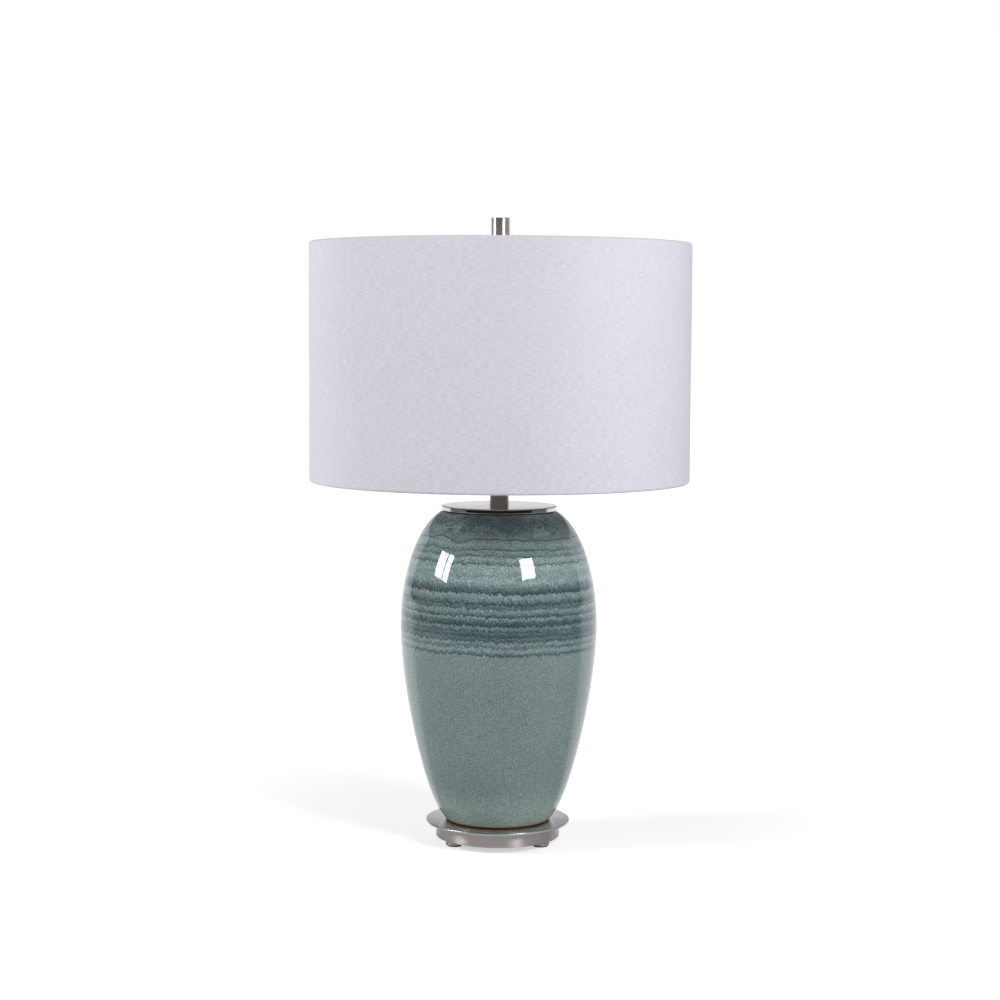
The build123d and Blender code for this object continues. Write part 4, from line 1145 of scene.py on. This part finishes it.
# ---------------------------------------------------------------- the lamp
@dataclass
class Base:
    """Feet, pan and plate under the vase, with what the pan holds."""

    foot_circle: float = 51.9
    foot_radius: float = 9.0
    foot_low: float = 1.2
    foot_edge: float = 0.5
    spigot_radius: float = 3.0
    pan_low: float = 6.7
    plate_low: float = 21.7
    plate_radius: float = 75.3
    plate_thickness: float = 2.1
    plate_edge: float = 0.6
    cover_thickness: float = 1.5
    pipe_hole: float = 4.85
    feet: tuple[tuple[str, float], ...] = (("right", 330.0), ("rear", 90.0), ("left", 210.0))

    def build(self) -> None:
        """Makes every piece of the base."""
        for side, angle in self.feet:
            centre = polar(self.foot_circle, math.radians(angle))
            show(f"turned_foot_{side}", self.foot(centre), NICKEL, [f"foot_{side}"])
            show_solids((f"felt_pad_{side}", f"foot_pad_{side}", PAD_FELT))
        show_solids(("base_drum", "base_pan", NICKEL))
        show("base_disc", self.plate(), NICKEL_FLAT, ["base_plate"])
        show_solids(
            ("inlet_bushing", "cord_inlet_bushing", RUBBER),
            ("ballast_casting", "ballast_disc", CASTING),
            ("bottom_lid", "bottom_cover", ZINC),
            ("lid_screws", "cover_screws", ZINC),
            ("stand_pipe", "threaded_pipe", ZINC),
            ("lower_washer", "pipe_washer", ZINC),
            ("lower_nut", "lower_pipe_nut", ZINC),
            ("foot_gasket", "base_gasket", RUBBER),
        )

    def foot(self, centre: tuple[float, float]) -> Mesh:
        """Returns a foot with its softened lower edge and the spigot on its top."""
        top = self.pan_low + self.cover_thickness
        outline = rounded([
            Corner(0, self.foot_low), Corner(self.foot_radius, self.foot_low, self.foot_edge),
            Corner(self.foot_radius, self.pan_low, 0.2), Corner(self.spigot_radius, self.pan_low),
            Corner(self.spigot_radius, top), Corner(0, top),
        ])
        return turned(outline, centre, 72)

    def plate(self) -> Mesh:
        """Returns the thin disc that the vase stands on."""
        high = self.plate_low + self.plate_thickness
        outline = rounded([
            Corner(self.pipe_hole, self.plate_low),
            Corner(self.plate_radius, self.plate_low, self.plate_edge),
            Corner(self.plate_radius, high, self.plate_edge),
            Corner(self.pipe_hole, high),
        ])
        return turned(outline, segments=256)


@dataclass
class Vase:
    """The glazed urn."""

    foot_radius: float = 53.6
    low: float = 24.8
    flare: tuple[float, float] = (75.0, 39.0)
    flank_drop: float = 63.0
    belly_radius: float = 103.0
    belly: float = 228.0
    shoulder_turn: float = 74.8
    mouth_radius: float = 60.1
    high: float = 348.8
    wall: float = 6.5
    floor: float = 8.0
    foot_rim: float = 7.0
    recess: float = 2.0
    hole: float = 6.5
    mouth_bore: float = 49.0
    lip: float = 9.0
    lip_edge: float = 1.4
    foot_edge: float = 0.8

    def build(self) -> None:
        """Makes the vase."""
        show("glazed_vase", turned(self.outline(), segments=256), GLAZE, ["vase"], crease=50.0)

    def side(self, inset: float, low: float, high: float, steps: int) -> Outline:
        """Returns the side from foot to mouth.

        Args:
            inset: how far inside the outer side it lies.
            low: its height at the foot.
            high: its height at the mouth.
            steps: how many runs the flank has; the shoulder has as many.
        """
        belly = self.belly_radius - inset
        foot = self.foot_radius - inset
        mouth = self.mouth_radius - inset / 2
        knots = (
            (foot, low), (foot + self.flare[0] - self.foot_radius, low + self.flare[1] - self.low),
            (belly, self.belly - self.flank_drop), (belly, self.belly),
        )
        points: Outline = []
        for step in range(steps):
            t = step / steps
            weights = ((1 - t) ** 3, 3 * t * (1 - t) ** 2, 3 * t * t * (1 - t), t**3)
            points.append(tuple(sum(w * knot[axis] for w, knot in zip(weights, knots)) for axis in (0, 1)))
        turn = math.radians(self.shoulder_turn)
        across = (belly - mouth) / (1 - math.cos(turn))
        rise = (high - self.belly) / math.sin(turn)
        for step in range(steps + 1):
            angle = turn * step / steps
            r = belly - across + across * math.cos(angle)
            points.append((r, self.belly + rise * math.sin(angle)))
        return points

    def outline(self) -> Outline:
        """Returns the vase's section, outside and inside."""
        outside = self.side(0.0, self.low, self.high, 48)
        inside = self.side(self.wall, self.low + self.floor, self.high - self.lip, 24)
        corners = [Corner(self.foot_radius - self.foot_rim, self.low, self.foot_edge)]
        corners += [Corner(*outside[0], self.foot_edge)]
        corners += [Corner(*spot) for spot in outside[1:-1]]
        corners += [Corner(*outside[-1], self.lip_edge), Corner(self.mouth_bore, self.high, self.lip_edge)]
        corners += [Corner(self.mouth_bore, self.high - self.lip)]
        corners += [Corner(*spot) for spot in reversed(inside)]
        corners += [Corner(self.hole, self.low + self.floor), Corner(self.hole, self.low + self.recess)]
        corners += [Corner(self.foot_radius - self.foot_rim, self.low + self.recess)]
        return rounded(corners)


@dataclass
class Cap:
    """The metal cap on the vase's mouth, and the neck above it."""

    radius: float = 60.4
    low: float = 349.8
    thickness: float = 4.8
    edge: float = 1.0
    skin: float = 1.6
    rim: float = 7.0
    pipe_hole: float = 4.85
    neck_radius: float = 10.0
    neck_wall: float = 1.2
    neck_height: float = 29.0

    def build(self) -> None:
        """Makes the cap, the neck and what they hide."""
        show("cap_disc", self.disc(), NICKEL_CAP, ["cap_plate"])
        low = self.low + self.thickness
        neck = tube(self.neck_radius - self.neck_wall, self.neck_radius, low, low + self.neck_height, 0.25)
        show("neck_sleeve", turned(neck, segments=128), NICKEL, ["neck_tube"])
        show_solids(
            ("mouth_gasket", "cap_gasket", RUBBER),
            ("upper_nut", "upper_pipe_nut", ZINC),
            ("neck_ring", "neck_seating_ring", ZINC),
        )

    def disc(self) -> Mesh:
        """Returns the cap, hollow below, with its rolled rim."""
        high = self.low + self.thickness
        inner = self.radius - self.edge - self.rim
        outline = rounded([
            Corner(inner, self.low), Corner(self.radius, self.low, self.edge / 2),
            Corner(self.radius, self.low + self.edge), Corner(self.radius, high - 1.5 * self.edge),
            Corner(self.radius, high, self.edge), Corner(self.radius - 1.5 * self.edge, high),
            Corner(self.pipe_hole, high), Corner(self.pipe_hole, high - self.skin),
            Corner(inner, high - self.skin),
        ])
        return turned(outline, segments=256)


@dataclass
class Harp:
    """The harp with its saddle, stud and sleeves."""

    wire: float = 2.0
    corners: tuple[tuple[float, float, float], ...] = (
        (29.0, 411.6, 0.0), (29.0, 445.6, 26.0), (57.0, 475.6, 26.0), (57.0, 533.6, 40.0),
        (16.0, 607.2, 14.0),
    )
    eye_radius: float = 7.0
    stud_radius: float = 3.15
    crown: float = 607.2
    sleeve_low: float = 403.6
    sleeve_length: float = 16.0
    sleeve_outer: float = 3.05
    span: float = 29.0
    slip: float = 0.05

    def build(self, wires: BentWire) -> None:
        """Makes the harp, with its wire bent by the given tree."""
        right = [(Vector((x, 0, z)), bend) for x, z, bend in self.corners]
        left = [(Vector((-x, 0, z)), bend) for x, z, bend in reversed(self.corners)]
        wire = wires.along(right + left, self.wire, BRIGHT_NICKEL)
        show("harp_wire", wire, BRIGHT_NICKEL, ["harp"], crease=60.0)
        low, high = self.crown - self.wire, self.crown + self.wire
        eye = tube(self.stud_radius + self.slip, self.eye_radius, low, high, 0.9)
        show("harp_eye", turned(eye, segments=64), BRIGHT_NICKEL)
        show_solids(("harp_bracket", "harp_saddle", BRIGHT_NICKEL), ("harp_post", "harp_stud", BRIGHT_NICKEL))
        high = self.sleeve_low + self.sleeve_length
        sleeve = tube(self.wire + self.slip, self.sleeve_outer, self.sleeve_low, high, 0.4)
        for side, sign, body in (("left", -1, Body.SLEEVE_LEFT), ("right", 1, Body.SLEEVE_RIGHT)):
            mesh = turned(sleeve, (sign * self.span, 0.0), 48)
            show(f"sleeve_{side}", mesh, BRIGHT_NICKEL, [f"harp_sleeve_{side}"], body)


@dataclass
class Socket:
    """The lamp holder and its turn switch."""

    shell_radius: float = 16.25
    bead: float = 0.35
    bead_low: float = 434.0
    bead_gap: float = 2.2
    screw_bore: float = 13.15
    screw_wall: float = 0.4
    screw_low: float = 414.6
    screw_foot: float = 4.0
    screw_foot_radius: float = 11.4
    screw_depth: float = 23.0
    screw_bend: float = 0.7
    floor_hole: float = 7.2
    thread_clear: float = 1.6
    thread_pitch: float = 3.6
    thread_ridge: float = 0.38
    knob_radius: float = 6.4
    knob_near: float = 21.25
    knob_far: float = 34.25
    knob_height: float = 408.1

    def build(self) -> None:
        """Makes the holder and the switch."""
        show_solids(
            ("holder_cap", "socket_cap", BRIGHT_NICKEL),
            ("holder_shell", "socket_shell", BRIGHT_NICKEL),
            ("holder_liner", "socket_liner", LINER),
            ("holder_core", "socket_core", PHENOLIC),
            ("wire_screws", "terminal_screws", BRASS),
            ("centre_tongue", "centre_contact", BRASS),
        )
        beads = BeadRows().grow(
            BRIGHT_NICKEL, Radius=self.shell_radius * MM, Bead=self.bead * MM, Low=self.bead_low * MM,
            Gap=self.bead_gap * MM,
        )
        show("shell_beads", beads, BRIGHT_NICKEL, crease=60.0)
        thread = RolledThread().grow(
            ALUMINIUM, turned(self.screw_outline(), segments=96), Radius=self.screw_bore * MM,
            Ridge=self.thread_ridge * MM, Pitch=self.thread_pitch * MM,
            Low=(self.screw_low + self.screw_foot + self.thread_clear) * MM,
            Rise=(self.screw_depth - self.screw_foot - 2 * self.thread_clear) * MM,
        )
        show("lamp_thread", thread, ALUMINIUM, ["screw_shell"], crease=50.0)
        show("switch_spindle", welded("switch_stem"), BRASS, ["switch_stem"], Body.SWITCH)
        knob = FlutedRod().grow(
            PHENOLIC, Radius=self.knob_radius * MM, Near_End=self.knob_near * MM, Far_End=self.knob_far * MM,
            Height=self.knob_height * MM,
        )
        show("fluted_knob", knob, PHENOLIC, ["switch_knob"], Body.SWITCH, 40.0)

    def screw_outline(self) -> Outline:
        """Returns the section of the thin shell that the lamp screws into, on its narrow foot."""
        wall, bend = self.screw_wall, self.screw_bend
        low, shelf, top = self.screw_low, self.screw_low + self.screw_foot, self.screw_low + self.screw_depth
        foot, outer = self.screw_foot_radius, self.screw_bore + wall
        return rounded([
            Corner(self.floor_hole, low), Corner(foot, low, bend), Corner(foot, shelf - wall, bend / 2),
            Corner(outer, shelf - wall, bend), Corner(outer, top, wall / 3),
            Corner(self.screw_bore, top, wall / 3), Corner(self.screw_bore, shelf, bend / 2),
            Corner(foot - wall, shelf, bend),
            Corner(foot - wall, low + wall, bend / 2), Corner(self.floor_hole, low + wall),
        ], 3)


@dataclass
class Shade:
    """The linen drum with its lining, wires and spider."""

    radius: float = 197.5
    low: float = 379.4
    high: float = 626.2
    fabric: float = 0.6
    lining: float = 1.0
    slip: float = 0.05
    loose: float = 0.2
    ring_wire: float = 1.6
    hem_turn: float = 8.0
    seam_width: float = 14.0
    seam_lift: float = 0.45
    arm_wire: float = 1.4
    arm_angles: tuple[float, ...] = (90.0, 210.0, 330.0)
    arm_start: float = 10.8
    arm_rise: float = 30.0
    arm_tip: float = 10.0
    arm_bend: float = 8.0
    hub_radius: float = 14.0
    hub_low: float = 612.2
    hub_thickness: float = 1.5
    hub_bore: float = 3.2
    segments: int = 288
    hem_runs: int = 12
    seam_runs: tuple[int, int] = (12, 40)
    seam_inset: float = 1.2
    seam_sunk: float = 0.05
    slub_facets: int = 144
    fabric_line: float = field(init=False)
    lining_outer: float = field(init=False)
    ring_circle: float = field(init=False)
    hem_line: float = field(init=False)
    hem_radius: float = field(init=False)
    hem_low: float = field(init=False)
    hem_high: float = field(init=False)

    def __post_init__(self) -> None:
        """Works out the lines that several pieces share."""
        self.fabric_line = self.radius - self.fabric / 2
        self.lining_outer = self.radius - self.fabric - self.slip
        self.ring_circle = self.lining_outer - self.lining - self.slip - self.ring_wire
        self.hem_line = self.ring_circle - self.ring_wire - self.loose - self.fabric / 2
        self.hem_radius = (self.fabric_line - self.hem_line) / 2
        self.hem_low = self.low + self.fabric / 2 + self.hem_radius
        self.hem_high = self.high - self.fabric / 2 - self.hem_radius

    def build(self, wires: BentWire) -> None:
        """Makes the shade, with its wires bent by the given tree."""
        shade = Body.SHADE
        cloth = turned(self.cloth_outline(), segments=self.segments, cloth=True)
        drum = show("linen_drum", cloth, LINEN, ["shade_fabric"], shade)
        show("linen_seam", self.seam(), LINEN, body=shade)
        show("linen_slubs", self.slubs(), LINEN, body=shade)
        lining = tube(self.lining_outer - self.lining, self.lining_outer, self.hem_low, self.hem_high, 0.2)
        show("drum_lining", turned(lining, segments=self.segments), LINING, ["shade_lining"], shade)
        for place, height in (("top", self.hem_high), ("bottom", self.hem_low)):
            angles = (FULL_TURN * k / self.segments for k in range(self.segments))
            ring = [(Vector((*polar(self.ring_circle, angle), height)), 0.0) for angle in angles]
            mesh = wires.along(ring, self.ring_wire, WIRE_ENAMEL, closed=True)
            show(f"ring_wire_{place}", mesh, WIRE_ENAMEL, [f"shade_ring_{place}"], shade, 60.0)
        hub = tube(self.hub_bore, self.hub_radius, self.hub_low, self.hub_low + self.hub_thickness, 0.4)
        show("spider_washer", turned(hub, segments=96), BRIGHT_NICKEL, ["spider_hub"], shade)
        for index, angle in enumerate(self.arm_angles, 1):
            mesh = wires.along(self.arm(angle), self.arm_wire, WIRE_ENAMEL)
            show(f"spider_wire_{index}", mesh, WIRE_ENAMEL, [f"spider_arm_{index}"], shade, 60.0)

    def cloth_outline(self) -> Outline:
        """Returns the section of the cloth, which turns in round both ring wires."""
        middle = (self.fabric_line + self.hem_line) / 2
        runs = self.hem_runs

        def face(offset: float) -> Outline:
            """Returns one face of the cloth, offset outwards from its middle."""
            arc = [polar(self.hem_radius + offset, math.pi * k / runs) for k in range(runs + 1)]
            low = [(middle - x, self.hem_low - z) for x, z in arc]
            high = [(middle + x, self.hem_high + z) for x, z in arc]
            first = (self.hem_line - offset, self.hem_low + self.hem_turn)
            last = (self.hem_line - offset, self.hem_high - self.hem_turn)
            return [first, *low, *high, last]

        return face(self.fabric / 2) + face(-self.fabric / 2)[::-1]

    def seam(self) -> Mesh:
        """Returns the strip at the back where one end of the cloth laps over the other."""
        shape = bmesh.new()
        layer = shape.loops.layers.uv.new(CLOTH_PLACE)
        half = self.seam_width / 2 / self.radius
        across, rows = self.seam_runs
        low, high = self.low + self.seam_inset, self.high - self.seam_inset
        grid: list[list[list[bmesh.types.BMVert]]] = []
        for lift in (0.0, 1.0):
            side = []
            for row in range(rows + 1):
                z = low + (high - low) * row / rows
                pull = 1.0 - 0.5 * abs(2 * row / rows - 1) ** 12
                line = []
                for k in range(across + 1):
                    share = 2 * k / across - 1
                    crown = (1 - abs(share) ** 6) * self.seam_lift * lift * pull
                    x, y = polar(self.radius - self.seam_sunk + crown, math.pi / 2 + half * share)
                    line.append(shape.verts.new((x * MM, y * MM, z * MM)))
                side.append(line)
            grid.append(side)

        def quad(*spots: tuple[int, int, int]) -> None:
            """Adds a face with its flat place."""
            face = shape.faces.new([grid[a][b][c] for a, b, c in spots])
            for loop, (_, b, c) in zip(face.loops, spots):
                up = low + (high - low) * b / rows
                loop[layer].uv = ((c / across - 0.5) * self.seam_width * MM, up * MM)

        for row in range(rows):
            for k in range(across):
                for side in (0, 1):
                    quad((side, row, k), (side, row, k + 1), (side, row + 1, k + 1), (side, row + 1, k))
            for k in (0, across):
                quad((0, row, k), (1, row, k), (1, row + 1, k), (0, row + 1, k))
        for row in (0, rows):
            for k in range(across):
                quad((0, row, k), (0, row, k + 1), (1, row, k + 1), (1, row, k))
        return settled(shape)

    def slubs(self) -> Mesh:
        """Returns the slubs, strewn over the drum's outer face."""
        shape = bmesh.new()
        count = self.slub_facets
        round_about = [polar(self.radius, FULL_TURN * k / count) for k in range(count)]
        low, high = (
            [shape.verts.new((x * MM, y * MM, z * MM)) for x, y in round_about]
            for z in (self.hem_low, self.hem_high)
        )
        for k in range(count):
            following = (k + 1) % count
            shape.faces.new([low[k], low[following], high[following], high[k]])
        return SlubScatter().grow(LINEN, settled(shape, outward=False))

    def arm(self, angle: float) -> list[tuple[Vector, float]]:
        """Returns the corners of a spider arm, from the hub to the top ring."""
        way = Vector((*polar(1.0, math.radians(angle)), 0.0))
        level = self.hub_low + self.hub_thickness + self.arm_wire
        reach = self.ring_circle - self.ring_wire
        return [
            (way * self.arm_start + Vector((0, 0, level)), 0.0),
            (way * (reach - self.arm_rise) + Vector((0, 0, level)), self.arm_bend),
            (way * (reach - self.arm_tip) + Vector((0, 0, self.hem_high)), self.arm_bend),
            (way * reach + Vector((0, 0, self.hem_high)), 0.0),
        ]


@dataclass
class Finial:
    """The plain metal finial."""

    radius: float = 10.0
    low: float = 613.8
    height: float = 38.0
    edge: float = 0.5
    bore: float = 3.2
    bore_depth: float = 16.0

    def build(self) -> None:
        """Makes the finial."""
        high, hole_end = self.low + self.height, self.low + self.bore_depth
        outline = rounded([
            Corner(self.bore, self.low), Corner(self.radius, self.low, self.edge),
            Corner(self.radius, high, self.edge), Corner(0, high), Corner(0, hole_end),
            Corner(self.bore, hole_end),
        ])
        show("turned_finial", turned(outline, segments=128), BRIGHT_NICKEL, ["finial"], Body.FINIAL)


# ---------------------------------------------------------------- the studio
@dataclass(frozen=True)
class Softbox:
    """A flat lamp that faces the vase, in one panel or more.

    A panel is its centre, from the lamp's own, and its width, both across the lamp.
    """

    name: str
    place: tuple[float, float, float]
    panels: tuple[tuple[float, float], ...]
    height: float
    watts: float
    aim: tuple[float, float, float] = (0.0, 0.0, 0.3)

    def build(self) -> None:
        """Hangs the lamp, unseen by the camera itself."""
        turn = (Vector(self.aim) - Vector(self.place)).to_track_quat("-Z", "Y")
        whole = sum(width for _, width in self.panels)
        for index, (offset, width) in enumerate(self.panels):
            lamp = bpy.data.lights.new(f"{self.name}_{index}", "AREA")
            lamp.shape = "RECTANGLE"
            lamp.size, lamp.size_y, lamp.energy = width, self.height, self.watts * width / whole
            holder = linked(lamp.name, lamp)
            holder.location = Vector(self.place) + turn @ Vector((offset, 0.0, 0.0))
            holder.rotation_euler = turn.to_euler()
            holder.visible_camera = False


@dataclass
class Studio:
    """Floor, lights, surroundings and camera."""

    camera_distance: float = 2.2761
    camera_height: float = 0.53974
    pitch: float = 4.521
    roll: float = 0.3
    lens: float = 78.84
    side_shift: float = 0.0007
    floor_half: float = 40.0
    floor_tone: Colour = (0.72, 0.72, 0.73)
    paper_end: float = -1.45
    beyond_paper: Colour = (0.07, 0.06, 0.055)
    white_from: tuple[float, float] = (-50.0, 64.0)
    backdrop_top: tuple[float, float] = (0.185, 0.0032)
    backdrop: Colour = (0.91, 0.915, 0.965)
    edging: Colour = (0.01, 0.01, 0.012)
    dim: Colour = (0.14, 0.122, 0.112)
    dark: Colour = (0.05, 0.047, 0.047)
    room: Colour = (0.09, 0.082, 0.078)
    fill: Colour = (0.56, 0.555, 0.555)
    above: Colour = (0.24, 0.24, 0.245)
    softboxes: tuple[Softbox, ...] = (
        Softbox("right_softbox", (1.097, -1.404, 1.208), ((0.0, 0.57),), 0.57, 22.2),
        Softbox("left_softbox", (-1.810, -0.431, 1.033), ((-0.16, 0.42), (0.235, 0.27)), 0.58, 22.8),
    )

    def build(self) -> None:
        """Sets up the picture."""
        self.floor()
        for softbox in self.softboxes:
            softbox.build()
        self.surroundings()
        self.camera()
        bpy.context.scene.view_settings.view_transform = "Standard"

    def camera(self) -> None:
        """Stands the camera where the photograph was taken from."""
        data = bpy.data.cameras.new("camera")
        data.sensor_width, data.lens, data.shift_x = 36.0, self.lens, self.side_shift
        data.clip_start, data.clip_end = 0.05, 200.0
        holder = linked("camera", data)
        tilt = Matrix.Rotation(math.radians(90 - self.pitch), 4, "X")
        roll = Matrix.Rotation(math.radians(self.roll), 4, "Z")
        holder.matrix_world = Matrix.Translation((0, -self.camera_distance, self.camera_height)) @ tilt @ roll
        bpy.context.scene.camera = holder

    @staticmethod
    def seen(graph: Graph, *kinds: str) -> Out:
        """Returns 1 for rays of the given kinds, such as the camera's, and 0 for others."""
        path = graph.add("ShaderNodeLightPath")
        found = path.outputs[kinds[0]]
        for kind in kinds[1:]:
            found = graph.math("MAXIMUM", found, path.outputs[kind])
        return found

    def floor(self) -> None:
        """Lays a pale floor that keeps the lamp's shadow and turns white further off."""
        half = self.floor_half
        mesh = bpy.data.meshes.new("floor")
        spots = [(-half, -half, 0), (half, -half, 0), (half, half, 0), (-half, half, 0)]
        mesh.from_pydata(spots, [], [(0, 1, 2, 3)])
        material = bpy.data.materials.new("pale_floor")
        graph = emptied(material)
        place = graph.add("ShaderNodeTexCoord").outputs["Object"]
        tone = graph.noise(place, 3.0, 3.0)
        diffuse = graph.add("ShaderNodeBsdfDiffuse")
        paper = graph.mix(tone, self.floor_tone, tuple(c + 0.02 for c in self.floor_tone))
        edge = graph.span(graph.parts(place)[1], self.paper_end - 0.2, self.paper_end)
        graph.feed(diffuse.inputs["Color"], graph.mix(edge, self.beyond_paper, paper))
        glow = graph.add("ShaderNodeEmission")
        near = graph.span(graph.length(place), 0.25, 1.4, 0.55, 1.0)
        x, y, _ = graph.parts(place)
        bearing = graph.times(graph.math("ARCTAN2", x, y), DEGREES)
        left, right = self.white_from
        from_left = graph.span(bearing, left - 22, left - 12)
        behind = graph.math("MINIMUM", from_left, graph.span(bearing, right + 2, right + 12, 1.0, 0.0))
        mirrored = graph.times(self.seen(graph, "Is Glossy Ray", "Is Transmission Ray"), behind)
        seen = graph.math("MAXIMUM", self.seen(graph, "Is Camera Ray"), mirrored)
        graph.feed(glow.inputs["Strength"], graph.times(near, seen))
        both = graph.add("ShaderNodeAddShader")
        graph.feed(both.inputs[0], diffuse.outputs[0])
        graph.feed(both.inputs[1], glow.outputs[0])
        graph.feed(graph.add("ShaderNodeOutputMaterial").inputs["Surface"], both.outputs[0])
        mesh.materials.append(material)
        piece = linked("floor", mesh)

    def surroundings(self) -> None:
        """A white backdrop behind the lamp and a dimmer studio in front of it."""
        world = bpy.data.worlds.new("studio")
        bpy.context.scene.world = world
        graph = emptied(world)
        way = graph.add("ShaderNodeTexCoord").outputs["Generated"]
        x, y, z = graph.parts(way)
        bearing = graph.math("ARCTAN2", x, y)
        share = graph.span(bearing, -math.pi, math.pi)

        def at(degrees: float) -> float:
            """Returns a bearing from straight back, to the right, as a share of the turn."""
            return (degrees + 180.0) / 360.0

        dim, dark, room = self.dim, self.dark, self.room
        ring = graph.ramp(share, [
            (at(-180), dim), (at(-128), dim), (at(-112), room), (at(0), room), (at(90), dark),
            (at(135), dark), (at(158), dim), (at(180), dim),
        ])
        fill = graph.times(graph.span(z, 0.14, 0.34), graph.span(x, 0.2, 0.6))
        ring = graph.mix(fill, ring, self.fill)
        above = graph.span(z, 0.55, 0.95)
        surround = graph.mix(above, ring, self.above)
        degrees = graph.times(bearing, DEGREES)
        rise, spread = self.backdrop_top
        aside = graph.math("ABSOLUTE", degrees)
        top = graph.plus(graph.times(aside, spread), graph.span(aside, 4.0, 9.0, rise + 0.08, rise))
        inside = graph.times(graph.minus(top, z), 60.0)
        for side, edge in zip((1.0, -1.0), self.white_from):
            from_edge = graph.times(graph.minus(degrees, edge), side)
            inside = graph.math("MINIMUM", inside, from_edge)
        edging = graph.span(inside, -3.0, -1.8, 0.0, 0.9)
        edged = graph.mix(edging, surround, self.edging)
        lit = graph.mix(graph.span(inside, -0.8, 0.8), edged, self.backdrop)
        sky = graph.mix(self.seen(graph, "Is Camera Ray"), lit, WHITE)
        back = graph.add("ShaderNodeBackground")
        graph.feed(back.inputs["Color"], sky)
        graph.feed(graph.add("ShaderNodeOutputWorld").inputs["Surface"], back.outputs[0])


def main() -> None:
    """Builds the lamp from the table up, then the studio around it."""
    logging.basicConfig(level=logging.INFO, format="%(name)s: %(message)s")
    wires = BentWire()
    Base().build()
    Vase().build()
    Cap().build()
    Harp().build(wires)
    Socket().build()
    Shade().build(wires)
    Finial().build()
    Studio().build()


if __name__ == "__main__":
    main()
